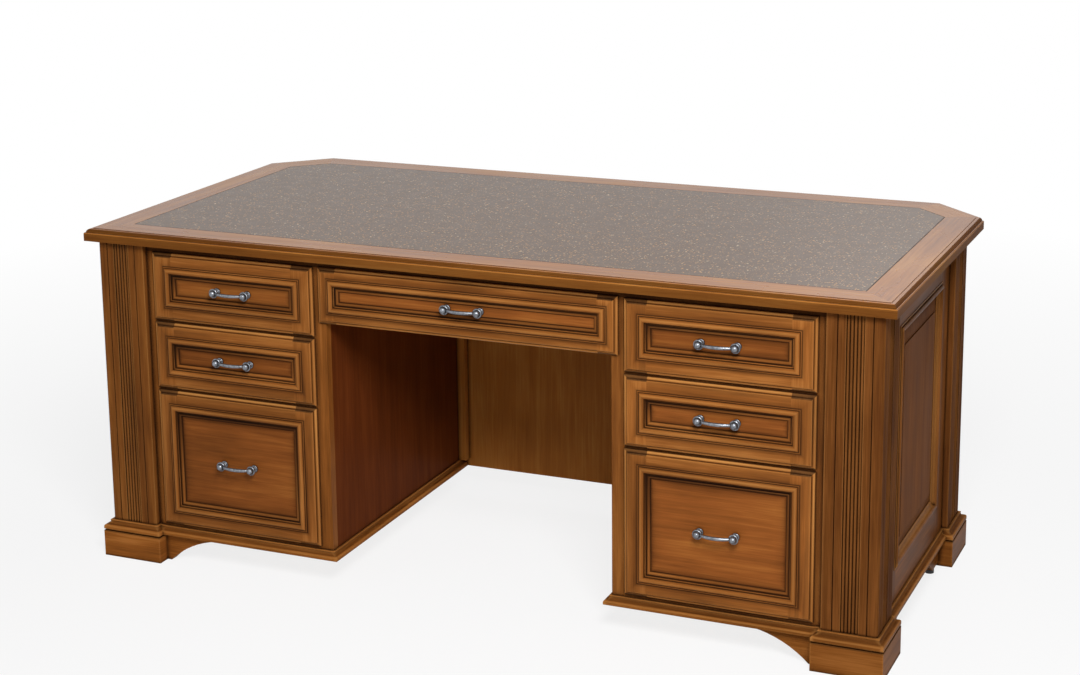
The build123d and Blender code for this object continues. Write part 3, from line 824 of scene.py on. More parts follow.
def arc_points(start: Point, middle: Point, end: Point, count: int) -> list[Point]:
    """Points on the arc through three points, without its start.

    Args:
        start: where it starts.
        middle: a point that it passes.
        end: where it ends.
        count: how many points.

    Returns:
        The points in order.
    """
    (ax, ay), (bx, by), (cx, cy) = start, middle, end
    turn = 2 * (ax * (by - cy) + bx * (cy - ay) + cx * (ay - by))
    sa, sb, sc = ax * ax + ay * ay, bx * bx + by * by, cx * cx + cy * cy
    ux = (sa * (by - cy) + sb * (cy - ay) + sc * (ay - by)) / turn
    uy = (sa * (cx - bx) + sb * (ax - cx) + sc * (bx - ax)) / turn
    radius = math.hypot(ax - ux, ay - uy)
    first = math.atan2(ay - uy, ax - ux)
    sweep = math.atan2(cy - uy, cx - ux) - first
    through = math.atan2(by - uy, bx - ux) - first
    sweep %= 2 * math.pi
    if through % (2 * math.pi) > sweep:
        sweep -= 2 * math.pi
    angles = [first + sweep * (i + 1) / count for i in range(count)]
    return [(ux + radius * math.cos(a), uy + radius * math.sin(a)) for a in angles]


@dataclass
class DrawerFront:
    """A lipped drawer front: stiles, rails, mitred moulding and flat panel, in millimetres.

    A point of the profile is its distance in from the edge, its height over the lip's back, and its glaze and
    painted shade, which are wear and painted highlight where negative. Each tuple of glaze gives an arc of the
    profile as many points as it has values. For the frame and the panel, a pair is the distance from the moulding
    and the glaze and painted shade there.
    """

    key: str
    seed: int
    finishes: dict[str, bpy.types.Material]
    edge_flat: float = 2.0
    edge_round: float = 4.0
    edge_step: float = 7.0
    face_height: float = 10.0
    face_round: float = 2.5
    margin: float = 30.0
    bead: float = 2.6
    bead_height: float = 1.6
    quirk: float = 0.7
    ridge: float = 12.2
    ridge_height: float = 4.5
    crest_share: float = 0.48
    shoulder_share: float = 0.55
    fillet: float = 3.0
    fillet_rise: float = 0.7
    fillet_fall: float = 0.3
    inner_quirk: float = 1.8
    inner_round: float = 7.2
    nose_share: float = 0.42
    nose_rise: float = 0.2
    nose_foot: float = 0.7
    drop: float = 7.0
    foot_share: float = 0.12
    ledge_share: float = 0.36
    ledge_fall: float = 0.3
    stile: float = 50.0
    rabbet_depth: float = 10.0
    rabbet_margin: float = 11.0
    rabbet_side: float = 11.0
    smooth_angle: float = 32.0
    # Width over which the lip's flat darkens towards the foot of the step.
    step_dark_width: float = 1.2
    # Share of the lips' painted highlight kept on the side and lower edges; the top edges take all of it.
    side_highlight_share: float = 0.5
    # Painted shade added inside the side and upper mouldings, which face away from the light.
    side_painted_shade: float = 0.35
    upper_painted_shade: float = 0.85
    lower_shadow: float = 0.25
    shadow_width: float = 4.0
    glaze_catch: float = 1.0
    # Strength of the panel's darkening near its moulding: glaze and painted shade.
    panel_glaze_and_shade: float = 1.0
    panel_clear: float = 2.0
    shade_range: float = 1.5
    # Painted highlight on the lip's rounded edge.
    edge_highlight: tuple[float, ...] = (-0.35, -0.75, -0.9, -0.8, -0.5)
    face_glaze: tuple[float, ...] = (-0.1, -0.3, -0.3, -0.1)
    frame_glaze: tuple[Point, ...] = ((9.0, 0.0), (3.0, 0.22), (0.0, 0.95))
    bead_glaze: tuple[float, ...] = (0.3, 0.1, 0.35, 0.9)
    ridge_glaze: tuple[float, ...] = (0.35, 0.0, -0.15, -0.3, -0.3, -0.2, -0.1, 0.0, 0.1, 0.5)
    fillet_glaze: tuple[float, ...] = (0.25, -0.1, 0.1, 0.75)
    nose_glaze: tuple[float, ...] = (0.35, 0.05, -0.1, -0.1, 0.1, 0.45, 0.95)
    panel_glaze: tuple[Point, ...] = ((2.0, 0.60), (6.0, 0.28), (12.0, 0.10), (24.0, 0.0))
    low: Vector = field(init=False)
    high: Vector = field(init=False)
    piece: bpy.types.Object = field(init=False)
    profile: list[tuple[float, float, float]] = field(default_factory=list)

    def __post_init__(self) -> None:
        """Find the place of the CAD node."""
        self.low, self.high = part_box(self.node)

    @property
    def node(self) -> str:
        """Name of the CAD node that it stands for."""
        return f"front_{self.key}"

    @property
    def centre(self) -> Vector:
        """Middle of the front."""
        return (self.low + self.high) / 2

    @property
    def back(self) -> float:
        """Where the lip's back is."""
        return self.high.y - self.rabbet_depth * MM

    @property
    def ridge_end(self) -> float:
        """Distance in from the edge to the inner side of the moulding's ridge."""
        return self.margin + self.bead + self.quirk + self.ridge

    @property
    def moulding_end(self) -> float:
        """Distance in from the edge to the panel."""
        return self.ridge_end + self.fillet + self.inner_quirk + self.inner_round

    def run(self, *points: tuple[float, float, float]) -> None:
        """Add points to the profile."""
        self.profile += points

    def arc(self, start: Point, middle: Point, end: Point, glaze: tuple[float, ...]) -> None:
        """Add an arc to the profile, without its start.

        Args:
            start: where it starts.
            middle: a point that it passes.
            end: where it ends.
            glaze: glaze at each of its points.
        """
        points = arc_points(start, middle, end, len(glaze))
        self.run(*((inset, height, share) for (inset, height), share in zip(points, glaze)))

    def draw_profile(self) -> None:
        """Lay out the profile from the outer edge to the panel."""
        low = self.edge_flat + self.edge_round
        face = self.face_height
        corner = self.edge_round * EIGHTH_RISE
        self.run((0.0, self.edge_flat, 0.10))
        self.arc((0, self.edge_flat), (corner, low - corner), (self.edge_round, low), self.edge_highlight)
        self.run((self.edge_step - self.step_dark_width, low, 0.0), (self.edge_step, low, 0.85))
        rise = face - self.face_round
        corner = self.face_round * EIGHTH_RISE
        self.run((self.edge_step, rise, 0.25))
        end = (self.edge_step + self.face_round, face)
        self.arc((self.edge_step, rise), (self.edge_step + corner, face - corner), end, self.face_glaze)
        self.run(*((self.margin - reach, face, shade) for reach, shade in self.frame_glaze))
        self.draw_moulding()

    def draw_moulding(self) -> None:
        """Lay out the moulding's part of the profile, and the panel's as far as it has room."""
        face, edge = self.face_height, self.margin
        bead_low = face + self.bead_height / 2
        self.run((edge, bead_low, 0.7))
        bead_top = (edge + self.bead / 2, face + self.bead_height)
        self.arc((edge, bead_low), bead_top, (edge + self.bead, bead_low), self.bead_glaze)
        start, end = edge + self.bead + self.quirk, self.ridge_end
        self.run((start, bead_low, 1.0))
        crest = (start + self.ridge * self.crest_share, face + self.ridge_height)
        shoulder = (end - self.quirk, face + self.ridge_height * self.shoulder_share)
        self.arc((start, bead_low), crest, shoulder, self.ridge_glaze)
        foot = face - self.drop * self.foot_share
        self.run((end, foot, 1.0))
        step = end + self.fillet
        fillet_top = (end + self.fillet / 2, foot + self.fillet_rise)
        self.arc((end, foot), fillet_top, (step, foot - self.fillet_fall), self.fillet_glaze)
        low = foot - self.drop * self.ledge_share
        nose_start = (step + self.inner_quirk, low - self.ledge_fall)
        self.run((step, low, 1.0), (*nose_start, 0.9))
        width, panel = self.moulding_end, face - self.drop
        nose_middle = (width - self.inner_round * self.nose_share, low + self.nose_rise)
        self.arc(nose_start, nose_middle, (width, panel + self.nose_foot), self.nose_glaze)
        self.run((width, panel, 1.0))
        room = min(self.high.x - self.low.x, self.high.z - self.low.z) / 2 / MM
        for reach, shade in self.panel_glaze:
            if width + reach < room - self.panel_clear:
                self.run((width + reach, panel, shade * self.panel_glaze_and_shade))

    def model(self) -> bpy.types.Object:
        """Model the front in the CAD node's place.

        Returns:
            The bare piece.
        """
        centre = self.centre
        width, height = self.high.x - self.low.x, self.high.z - self.low.z
        depth = self.edge_flat * MM
        Bench.clear_selection()
        bpy.ops.mesh.primitive_cube_add(
            size=1, location=(centre.x, self.back - depth / 2, centre.z), scale=(width, depth, height)
        )
        piece = Bench.name_new(f"drawer_front_{self.key}")
        bpy.ops.object.mode_set(mode="EDIT")
        out = Vector((0.0, -1.0, 0.0))
        Bench.pick_face(piece, out)
        for (d0, h0, _), (d1, h1, _) in zip(self.profile, self.profile[1:]):
            Bench.step((d1 - d0) * MM, (h1 - h0) * MM, out)
        Bench.pick_face(piece, -out)
        Bench.step(self.rabbet_margin * MM, 0.0, -out)
        narrow = (width - 2 * self.rabbet_side * MM) / (width - 2 * self.rabbet_margin * MM)
        bpy.ops.transform.resize(value=(narrow, 1.0, 1.0), center_override=centre)
        bpy.ops.mesh.extrude_region_move(TRANSFORM_OT_translate={"value": -out * self.rabbet_depth * MM})
        for side in (-1, 1):
            bpy.ops.mesh.select_all(action="SELECT")
            cut = centre.x + side * (width / 2 - self.stile * MM)
            bpy.ops.mesh.bisect(plane_co=(cut, 0, 0), plane_no=(1, 0, 0))
        Bench.finish(piece, self.smooth_angle)
        return piece

    def build(self, twin: DrawerFront | None = None) -> bpy.types.Object:
        """Make the front, modelled or copied, and dress it.

        Args:
            twin: the front of the same size on the other side, if it is made already.

        Returns:
            The piece.
        """
        self.draw_profile()
        if twin is None:
            self.piece = self.model()
        else:
            self.piece = Bench.copy(twin.piece, f"drawer_front_{self.key}", self.low - twin.low)
        self.dress_boards()
        self.dress_grooves()
        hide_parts(self.node)
        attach(self.piece, f"drawer_{self.key}")
        LOG.info("%s: %d faces", self.piece.name, len(self.piece.data.polygons))
        return self.piece

    def insets(self, place: Vector) -> Point:
        """How far a place is in from the nearer side and from the nearer end, in millimetres."""
        from_side = (self.high.x - self.low.x) / 2 - abs(place.x - self.centre.x)
        from_end = (self.high.z - self.low.z) / 2 - abs(place.z - self.centre.z)
        return from_side / MM, from_end / MM

    def board_at(self, place: Vector) -> tuple[str, int]:
        """Board that a face is part of.

        Args:
            place: the face's middle.

        Returns:
            Name of the board's finish, and the board's number.
        """
        from_side, from_end = self.insets(place)
        inset = min(from_side, from_end)
        right, above = place.x > self.centre.x, place.z > self.centre.z
        if inset >= self.moulding_end:
            return "panel", 8
        if inset >= self.margin:
            return ("stile", 4 + right) if from_side < from_end else ("rail", 6 + above)
        if from_side >= self.stile:
            return "rail", 2 + above
        reach = self.edge_step + self.face_round if above else self.edge_round
        return ("end" if from_end < min(from_side, reach) else "stile"), int(right)

    def dress_boards(self) -> None:
        """Give each board its grain and a shade of its own, the same each run."""
        mesh = self.piece.data
        mesh.materials.clear()
        for material in self.finishes.values():
            mesh.materials.append(material)
        order = list(self.finishes)
        shades = mesh.attributes.get(BOARD) or mesh.attributes.new(BOARD, "FLOAT", "FACE")
        for face in mesh.polygons:
            name, board = self.board_at(face.center)
            face.material_index = order.index(name)
            shade = math.sin(12.9898 * (self.seed * 11 + board) + 78.233) * 43758.5453
            shades.data[face.index].value = (shade - math.floor(shade) - 0.5) * self.shade_range

    def dress_grooves(self) -> None:
        """Leave glaze, wear and painted light along the profile: less painted highlight on the lips' sides and bottom,
        painted shade inside the side and upper mouldings and a painted shadow under the lower moulding.
        """
        mesh = self.piece.data
        glaze = mesh.attributes.get(GLAZE_AND_LIGHT) or mesh.attributes.new(GLAZE_AND_LIGHT, "FLOAT", "POINT")
        for point in mesh.vertices:
            from_side, from_end = self.insets(point.co)
            inset, rise = min(from_side, from_end), (self.back - point.co.y) / MM
            nearest = min(self.profile, key=lambda p: (p[0] - inset) ** 2 + (p[1] - rise) ** 2)
            near = math.hypot(nearest[0] - inset, nearest[1] - rise) < self.glaze_catch
            value = nearest[2] if near else 0.0
            upright, above = from_side < from_end, point.co.z > self.centre.z
            if inset < self.edge_step and value < 0 and (upright or not above):
                value *= self.side_highlight_share
            elif self.ridge_end < inset < self.moulding_end and (upright or above):
                value = min(1.0, value + (self.side_painted_shade if upright else self.upper_painted_shade))
            elif self.margin - self.shadow_width < inset < self.margin and near and not (upright or above):
                value += self.lower_shadow
            glaze.data[point.index].value = value


@dataclass
class BowPull:
    """A cast bow pull with two turned ends and its screws, in millimetres."""

    finish: bpy.types.Material
    centres: float = 76.2
    projection: float = 27.0
    head_length: float = 13.6
    rosette: float = 8.0
    neck: float = 4.1
    collar: float = 10.6
    dome: float = 7.4
    bar_radius: float = 3.2
    bar_slim: float = 0.84
    bar_swell: float = 0.36
    bar_root: float = 14.0
    bar_bow: float = 11.5
    bar_steps: int = 28
    bar_sides: int = 20
    screw_radius: float = 2.0
    head_radius: float = 4.0
    head_height: float = 2.4
    turn_steps: int = 40
    smooth_angle: float = 34.0
    pieces: list[bpy.types.Object] = field(default_factory=list)

    def turned_profile(self) -> list[Point]:
        """Radius and height of the turned end: rosette, neck, collar and dome, from the panel out."""
        foot, neck, collar, dome = self.rosette, self.neck, self.collar, self.dome
        back = self.projection - self.head_length
        points = [(0.0, 0.0), (foot - 0.4, 0.0), (foot, 0.4), (foot, 1.4)]
        points += arc_points((foot, 1.4), (foot - 0.5, 2.5), (foot - 1.8, 3.0), 4)
        points += [(neck + 1.2, 3.1)]
        points += arc_points((neck + 1.2, 3.1), (neck + 0.3, 4.2), (neck, 6.5), 4)
        points += arc_points((neck, 6.5), (neck + 0.3, 10.5), (collar - 4.6, back - 0.3), 6)
        points += [(collar - 2.6, back)]
        points += arc_points((collar - 2.6, back), (collar, back + 2.5), (collar - 2.3, back + 5.0), 9)
        points += [(dome - 0.4, back + 4.8), (dome - 1.1, back + 4.6)]
        points += [(dome - 1.1, back + 5.6), (dome - 0.4, back + 6.1)]
        rise = self.projection - back - 6.4
        for i in range(10):
            angle = math.radians(10 * i)
            radius = dome * math.cos(angle) if i < 9 else 0.0
            points.append((radius, self.projection - rise + rise * math.sin(angle)))
        return points

    def lathe(self, name: str, points: list[Point], base: Vector) -> bpy.types.Object:
        """Turn a profile about the line that runs out of the front.

        Args:
            name: the piece's name.
            points: radius and height.
            base: where height is nought.

        Returns:
            The turned piece.
        """
        Bench.clear_selection()
        bpy.ops.mesh.primitive_plane_add(size=MM, location=base)
        piece = Bench.name_new(name)
        bpy.ops.object.mode_set(mode="EDIT")
        bpy.ops.mesh.select_mode(type="VERT")
        bpy.ops.mesh.select_all(action="SELECT")
        bpy.ops.mesh.merge(type="CENTER")
        here = points[0]
        bpy.ops.transform.translate(value=(here[0] * MM, -here[1] * MM, 0.0))
        for there in points[1:]:
            move = Vector((there[0] - here[0], here[1] - there[1], 0.0)) * MM
            bpy.ops.mesh.extrude_vertices_move(TRANSFORM_OT_translate={"value": move})
            here = there
        bpy.ops.mesh.select_all(action="SELECT")
        bpy.ops.mesh.spin(steps=self.turn_steps, angle=2 * math.pi, center=base, axis=(0, 1, 0))
        Bench.finish(piece, self.smooth_angle)
        return piece

    def bar(self, base: Vector) -> bpy.types.Object:
        """The bowed bar between the two ends.

        Args:
            base: middle of the pull on the panel.

        Returns:
            The bar.
        """
        half = self.centres / 2
        radius = (half * half + self.bar_bow**2) / (2 * self.bar_bow)
        hub = base + Vector((0, radius - self.bar_root - self.bar_bow, 0)) * MM
        turn = math.asin(half / radius)
        start = base + Vector((-half, -self.bar_root, 0)) * MM
        Bench.clear_selection()
        bpy.ops.mesh.primitive_circle_add(
            vertices=self.bar_sides, radius=self.bar_radius * MM, location=start, rotation=(0, math.pi / 2, -turn)
        )
        piece = Bench.name_new("bar")
        bpy.ops.object.mode_set(mode="EDIT")
        bpy.ops.mesh.select_mode(type="VERT")
        bpy.ops.mesh.select_all(action="SELECT")
        bpy.ops.mesh.spin(steps=self.bar_steps, angle=2 * turn, center=hub, axis=(0, 0, -1))
        for ring in range(self.bar_steps + 1):
            self.swell(piece, ring)
        bpy.ops.mesh.select_all(action="SELECT")
        bpy.ops.mesh.fill_holes(sides=0)
        Bench.finish(piece, self.smooth_angle)
        return piece

    def swell(self, piece: bpy.types.Object, ring: int) -> None:
        """Resize one ring of the bar, slim at the ends and full in the middle.

        Args:
            piece: the bar, in edit mode.
            ring: which ring, from the left.
        """
        bpy.ops.mesh.select_all(action="DESELECT")
        bpy.ops.object.mode_set(mode="OBJECT")
        points = piece.data.vertices[ring * self.bar_sides : (ring + 1) * self.bar_sides]
        for point in points:
            point.select = True
        middle = sum((piece.matrix_world @ point.co for point in points), Vector()) / self.bar_sides
        size = self.bar_slim + self.bar_swell * math.sin(math.pi * ring / self.bar_steps)
        bpy.ops.object.mode_set(mode="EDIT")
        bpy.ops.transform.resize(value=(size, size, size), center_override=middle)

    def model(self, key: str) -> bpy.types.Object:
        """Model the pull on one drawer.

        Args:
            key: the drawer.

        Returns:
            The pull.
        """
        low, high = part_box(f"pull_{key}")
        reach = self.bar_root + self.bar_bow + self.bar_radius
        base = Vector(((low.x + high.x) / 2, low.y + reach * MM, (low.z + high.z) / 2))
        tail = (base.y - high.y) / MM
        head, shank = self.head_radius, self.screw_radius
        seat = tail + self.head_height
        screw = [(0.0, tail), (head * 0.8, tail), (head, tail + 0.8), (head, seat)]
        screw += [(shank, seat), (shank, 0.0), (0.0, 0.0)]
        side = Vector((self.centres * MM, 0, 0))
        left = base - side / 2
        parts = [self.lathe("end", self.turned_profile(), left), self.lathe("screw", screw, left)]
        parts += [Bench.copy(part, f"right_{part.name}", side) for part in parts]
        return Bench.join(f"bow_pull_{key}", [self.bar(base), *parts])

    def build(self, keys: list[str]) -> None:
        """Model the pull once and copy it to every drawer.

        Args:
            keys: the drawers.
        """
        for key in keys:
            if self.pieces:
                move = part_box(f"pull_{key}")[0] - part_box(f"pull_{keys[0]}")[0]
                piece = Bench.copy(self.pieces[0], f"bow_pull_{key}", move)
            else:
                piece = self.model(key)
                piece.data.materials.clear()
                piece.data.materials.append(self.finish)
            self.pieces.append(piece)
        for key, piece in zip(keys, self.pieces):
            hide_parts(f"pull_{key}")
            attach(piece, f"drawer_{key}")
            LOG.info("%s: %d faces", piece.name, len(piece.data.polygons))


@dataclass
class Case:
    """The CAD nodes that stay, and their finishes.

    Sizes are millimetres. A band is two depths, under the border for the face frames and under the piece's own top for
    the plinths and the border's edge, or two shares of a foot moulding's height. It ends with its share of painted
    shade, or of painted highlight where negative.
    """

    nodes: dict[str, bpy.types.Object]
    frame_stile: float = 85.0
    wall: float = 18.0
    cap_groove: float = 3.5
    # Painted shadow on the face frames under the top's overhang.
    frame_painted_shadow: Band = (17.5, -1.0, 0.78)
    # Painted shadow on the plinth blocks under their caps.
    plinth_painted_shadow: Band = (2.6, -1.0, 0.55)
    # Painted shade on the top's moulded edge and its band, with a faint painted highlight on the band's upper corner.
    edge_painted_light: tuple[Band, ...] = (
        (27.6, 12.6, 0.60), (12.6, 11.0, 0.66), (11.0, 9.0, -0.12), (9.0, 7.8, 0.80),
        (7.8, 6.2, 0.72), (6.2, 2.6, 0.72), (2.6, 0.9, 0.80),
    )
    # Painted shade in the foot mouldings' coves and at their feet, with a painted highlight on the nose.
    foot_painted_light: tuple[Band, ...] = ((0.50, 0.86, 0.38), (0.28, 0.46, -0.30), (0.0, 0.08, 0.40))

    def coat(self, material: bpy.types.Material, *names: str) -> None:
        """Put one material on some nodes.

        Args:
            material: the finish.
            names: the nodes' names.
        """
        for name in names:
            mesh = self.nodes[name].data
            mesh.materials.clear()
            mesh.materials.append(material)
            LOG.info("%s: %s", name, material.name)

    def stain(self, wood: GlazedWood, *names: str) -> None:
        """Put one stained wood on some nodes."""
        self.coat(wood.material(), *names)

    def starting(self, *starts: str) -> list[str]:
        """Names of the nodes that start with one of some words."""
        return [name for name in self.nodes if name.startswith(starts)]

    def side_rails(self) -> RailZone:
        """Where the rails of the side frames are."""
        low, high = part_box("side_frame_right")
        half = (high.y - low.y) / 2 - self.frame_stile * MM
        return RailZone(1, (low.y + high.y) / 2, half, Grain.DEEP, mirrored=False)

    def back_rails(self) -> RailZone:
        """Where the rails of the far-side frames are."""
        low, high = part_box("back_frames")
        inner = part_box("kneehole_walls")[1].x - self.wall * MM
        return RailZone(0, (inner + high.x) / 2, (high.x - inner) / 2 - self.frame_stile * MM, Grain.ACROSS)

    def dress(self) -> None:
        """Give every node that stays its finish."""
        self.dress_posts()
        self.dress_frames()
        self.dress_panels()
        self.dress_foot()
        self.dress_top()
        boxes = GlazedWood("drawer_box_wood", Grain.AROUND, MAPLE, glaze=0.35, wear=0.0, roughness=0.45)
        self.stain(boxes, *self.starting("box_"), "slide_battens", "slide_partitions", "pedestal_bottoms")
        self.coat(PlatedSteel().material(), "case_slides", *self.starting("runners_", "slide_middles_"))
        self.coat(MouldedPlastic().material(), "glides")

    def dress_posts(self) -> None:
        """Reeded posts; the right ones take a darker copy of the wood as painted shade."""
        post = GlazedWood("post_wood", Grain.UPRIGHT, MID_CHERRY, wear=1.0, glaze=1.0, glaze_reach=0.006)
        self.stain(post, "post_front_left", "post_rear_left")
        # The right posts take a darker tone as painted shade.
        post = replace(post, name="post_wood_painted_shade", tone=SHADE_PAINTED_CHERRY, roughness=0.48, shine=0.003)
        self.stain(post, "post_front_right", "post_rear_right")

    def dress_frames(self) -> None:
        """Face frames with a painted shadow under the top and painted shade in the gaps round the drawers, the right
        one darker as painted shade, and the frames of the sides and the far side.
        """
        shade = self.lines_under(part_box("border_front")[0].z, self.frame_painted_shadow)
        # Strong, wide occlusion paints shade into the gaps round the drawers; a band paints the shadow under the top.
        front = GlazedWood("face_frame_wood", Grain.UPRIGHT, wear=0.0, glaze=0.97, glaze_reach=0.014, glaze_full=0.34,
                           painted_light_bands=shade)
        self.stain(front, "face_frame_left")
        # The right face frame takes a darker tone as painted shade.
        right = replace(front, name="face_frame_wood_painted_shade", tone=MID_CHERRY, glaze=0.93, glaze_full=0.36)
        self.stain(right, "face_frame_right")
        self.stain(replace(front, name="rail_wood", grain=Grain.ACROSS), "kneehole_rail")
        side = GlazedWood("side_frame_wood", Grain.UPRIGHT, DEEP_CHERRY, wear=0.0, rails=self.side_rails(), shine=0.012)
        self.stain(side, "side_frame_left", "side_frame_right")
        self.stain(replace(side, name="back_frame_wood", rails=self.back_rails()), "back_frames")

    def dress_panels(self) -> None:
        """Raised panels, mouldings and the knee-hole boards, whose walls get a darker tone as painted shade."""
        panel = GlazedWood("panel_wood", Grain.UPRIGHT, DEEP_CHERRY, wear=0.2, roughness=0.45, shine=0.006,
                           contrast=1.2)
        self.stain(panel, "raised_panels")
        moulding = GlazedWood("moulding_wood", Grain.UPRIGHT, DEEP_CHERRY, wear=0.8, glaze=1.0, glaze_reach=0.008,
                              glaze_full=0.38)
        self.stain(moulding, "panel_mouldings")
        # The knee-hole walls take a darker tone as painted shade.
        wall = GlazedWood("kneehole_wood_painted_shade", Grain.UPRIGHT, SHADED_CHERRY, wear=0.0, shine=0.004, contrast=1.0)
        self.stain(wall, "kneehole_walls")
        modesty = GlazedWood("modesty_wood", Grain.UPRIGHT, BORDER_CHERRY, wear=0.0, contrast=1.1)
        self.stain(modesty, "modesty_panel", "fixing_cleats")

    @staticmethod
    def lines_under(top: float, *lines: Band) -> tuple[Band, ...]:
        """Heights where shade or highlight is painted, and how much, from depths under a height."""
        return tuple((top - low * MM, top - high * MM, share) for low, high, share in lines)

    def foot_light_bands(self, node: str, groove: float = 0.0) -> tuple[Band, ...]:
        """Heights on a foot moulding where shade or highlight is painted, and how much.

        Args:
            node: the moulding.
            groove: height of the groove under it.

        Returns:
            Lower and upper height of each band, and its share.
        """
        low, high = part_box(node)
        start = low.z + groove
        rise = high.z - start
        return tuple((start + rise * a, start + rise * b, share) for a, b, share in self.foot_painted_light)

    def dress_foot(self) -> None:
        """Plinths, their caps, base mouldings and brackets, with painted shade and highlight bands, and painted light
        at the desk's left end fading to painted shade at its right.
        """
        bands = {
            "plinth_blocks": self.lines_under(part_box("plinth_blocks")[1].z, self.plinth_painted_shadow),
            "plinth_caps": self.foot_light_bands("plinth_caps", self.cap_groove * MM),
            "base_mouldings": self.foot_light_bands("base_mouldings"),
            "brackets": (),
        }
        for node, lines in bands.items():
            # Painted bands of shade and highlight, and painted light fading to shade from left to right.
            wood = GlazedWood(f"{node}_wood", Grain.AROUND, wear=0.5, shine=0.01, painted_side_light=0.22, painted_light_bands=lines)
            self.stain(wood, node)

    def dress_top(self) -> None:
        """Border boards with a duller moulded edge, inlay and core of the top; the edge carries painted shade and
        highlight bands, and painted light at its left end fading to painted shade at its right.
        """
        lines = self.lines_under(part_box("border_front")[1].z, *self.edge_painted_light)
        for node, grain in (("border_front", Grain.ACROSS), ("border_rear", Grain.ACROSS),
                            ("border_ends", Grain.DEEP), ("border_clips", Grain.CLIP)):
            wood = GlazedWood(f"{node}_wood", grain, BORDER_CHERRY, wear=0.0, glaze=0.85, glaze_reach=0.008,
                              roughness=0.27, shine=0.23)
            # The moulded edge takes painted shade and highlight bands, and painted light fading to shade from left to
            # right.
            edge = replace(wood, name=f"{node}_edge_wood", shine=0.02, painted_side_light=0.12, painted_light_bands=lines)
            self.stain(wood, node)
            mesh = self.nodes[node].data
            mesh.materials.append(edge.material())
            for face in mesh.polygons:
                face.material_index = int(face.normal.z < LEVEL_FACE)
        points = [point.co for point in self.nodes["top_inlay"].data.vertices]
        outline = InlayOutline(max(p.x for p in points), min(p.y for p in points), max(p.y for p in points),
                               max(p.x + p.y for p in points))
        self.coat(SpeckledInlay().material(outline), "top_inlay")
        self.coat(PressedBoard().material(), "top_core")


@dataclass(frozen=True)
class SoftLamp:
    """A square lamp: where it hangs, the side of its face and its watts."""

    name: str
    place: tuple[float, float, float]
    side: float
    power: float

    def hang(self, aim: Vector) -> None:
        """Hang the lamp.

        Args:
            aim: where it points.
        """
        light = bpy.data.lights.new(self.name, "AREA")
        light.shape = "SQUARE"
        light.size = self.side
        light.energy = self.power
        lamp = bpy.data.objects.new(self.name, light)
        bpy.context.scene.collection.objects.link(lamp)
        lamp.location = self.place
        lamp.rotation_mode = "QUATERNION"
        lamp.rotation_quaternion = (aim - lamp.location).to_track_quat("-Z", "Y")


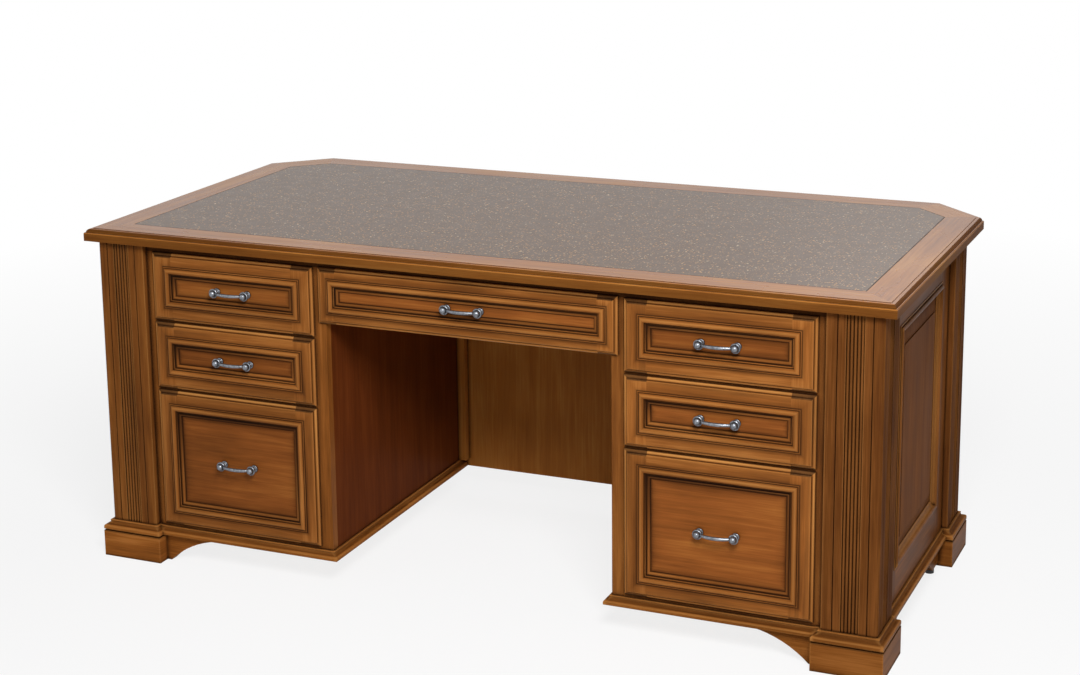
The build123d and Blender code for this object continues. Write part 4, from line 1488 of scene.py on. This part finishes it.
@dataclass
class Studio:
    """Pale floor, white surround, soft lamps and the camera.

    The lamps are a strong one beside the camera, a weak one at the left and one behind the desk.
    """

    floor_half: float = 9.0
    floor_tone: Colour = (0.92, 0.92, 0.93)
    floor_near: float = 1.3
    floor_far: float = 3.6
    floor_white: float = 0.82
    surround: float = 0.16
    lamps: tuple[SoftLamp, ...] = (
        SoftLamp("front_lamp", (1.6, -2.9, 2.9), 1.2, 135.0),
        SoftLamp("left_lamp", (-3.2, -3.6, 2.4), 2.4, 10.0),
        SoftLamp("back_lamp", (0.4, 3.6, 3.4), 2.0, 30.0),
    )
    lamp_aim: tuple[float, float, float] = (0.2, 0.0, 0.4)
    aim_azimuth: float = -23.185
    aim_drop: float = 12.376
    roll: float = -0.596
    place: tuple[float, float, float] = (1.7828, -4.1934, 1.7864)
    focal: float = 2078.74
    picture_width: float = 1080.0
    sensor_width: float = 36.0
    shift_y: float = -0.12

    def floor(self) -> None:
        """Pale floor that goes white for the camera and keeps the shadow."""
        Bench.clear_selection()
        bpy.ops.mesh.primitive_plane_add(size=2 * self.floor_half)
        floor = Bench.name_new("studio_floor")
        sheet = NodeSheet("pale_floor")
        matt = sheet.add("ShaderNodeBsdfDiffuse", {"Color": (*self.floor_tone, 1.0)}).outputs[0]
        white = sheet.add("ShaderNodeEmission", {"Color": WHITE, "Strength": 1.0}).outputs[0]
        away = sheet.add("ShaderNodeVectorMath", {0: sheet.place()}, operation="LENGTH").outputs["Value"]
        cleared = sheet.spread(away, self.floor_near, self.floor_far, self.floor_white, 1.0)
        share = sheet.math("MULTIPLY", sheet.seen(), cleared)
        mixed = sheet.add("ShaderNodeMixShader", {0: share, 1: matt, 2: white})
        sheet.add("ShaderNodeOutputMaterial", {"Surface": mixed.outputs[0]})
        floor.data.materials.append(sheet.block)

    def surround_light(self) -> None:
        """White surround, softer as a light than it looks."""
        sheet = NodeSheet("white_surround", bpy.data.worlds)
        bpy.context.scene.world = sheet.block
        dim, white = (sheet.add("ShaderNodeBackground", {"Color": WHITE, "Strength": strength}).outputs[0]
                      for strength in (self.surround, 1.0))
        mixed = sheet.add("ShaderNodeMixShader", {0: sheet.seen(), 1: dim, 2: white})
        sheet.add("ShaderNodeOutputWorld", {"Surface": mixed.outputs[0]})

    def camera(self) -> None:
        """Camera at the photograph's viewing angle."""
        azimuth, drop, roll = (math.radians(a) for a in (self.aim_azimuth, self.aim_drop, self.roll))
        ahead = Vector((math.sin(azimuth) * math.cos(drop), math.cos(azimuth) * math.cos(drop), -math.sin(drop)))
        level = Vector((math.cos(azimuth), -math.sin(azimuth), 0.0))
        up = level.cross(ahead)
        right = level * math.cos(roll) + up * math.sin(roll)
        up = up * math.cos(roll) - level * math.sin(roll)
        data = bpy.data.cameras.new("photo_camera")
        data.sensor_width = self.sensor_width
        data.lens = self.focal * self.sensor_width / self.picture_width
        data.shift_y = self.shift_y
        camera = bpy.data.objects.new("photo_camera", data)
        bpy.context.scene.collection.objects.link(camera)
        turn = Matrix((right, up, -ahead)).transposed().to_4x4()
        camera.matrix_world = Matrix.Translation(Vector(self.place)) @ turn
        bpy.context.scene.camera = camera

    def build(self) -> None:
        """Set the studio up."""
        bpy.context.scene.view_settings.view_transform = "Standard"
        self.floor()
        self.surround_light()
        for lamp in self.lamps:
            lamp.hang(Vector(self.lamp_aim))
        self.camera()


def front_finishes() -> dict[str, bpy.types.Material]:
    """Finishes of a drawer front's boards, in the order of its material slots."""
    return {
        "stile": GlazedWood("front_stile_wood", Grain.UPRIGHT, wear=0.3, shine=0.05).material(),
        "rail": GlazedWood("front_rail_wood", Grain.ACROSS, wear=0.3, shine=0.05).material(),
        "end": GlazedWood("front_end_grain", Grain.DEEP, END_GRAIN, wear=0.0, roughness=0.5).material(),
        "panel": GlazedWood("front_panel_wood", Grain.ACROSS, PANEL_CHERRY, wear=0.0, glaze_reach=0.006,
                            shine=0.04).material(),
    }


def main() -> None:
    """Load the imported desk, dress it and set up the studio."""
    logging.basicConfig(level=logging.INFO, format="%(name)s: %(message)s")
    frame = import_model()
    Studio().build()
    Case(frame["nodes"]).dress()
    finishes = front_finishes()
    keys = ["centre"]
    DrawerFront("centre", 50, finishes, margin=23.0, stile=43.0, rabbet_side=17.0, panel_glaze_and_shade=0.35).build()
    for row, left_seed, right_seed in (("top", 1, 4), ("middle", 39, 5), ("file", 30, 6)):
        left = DrawerFront(f"left_{row}", left_seed, finishes)
        left.build()
        DrawerFront(f"right_{row}", right_seed, finishes).build(twin=left)
        keys += [f"left_{row}", f"right_{row}"]
    BowPull(Pewter().material()).build(keys)
    Bench.clear_selection()
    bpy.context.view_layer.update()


if __name__ == "__main__":
    main()
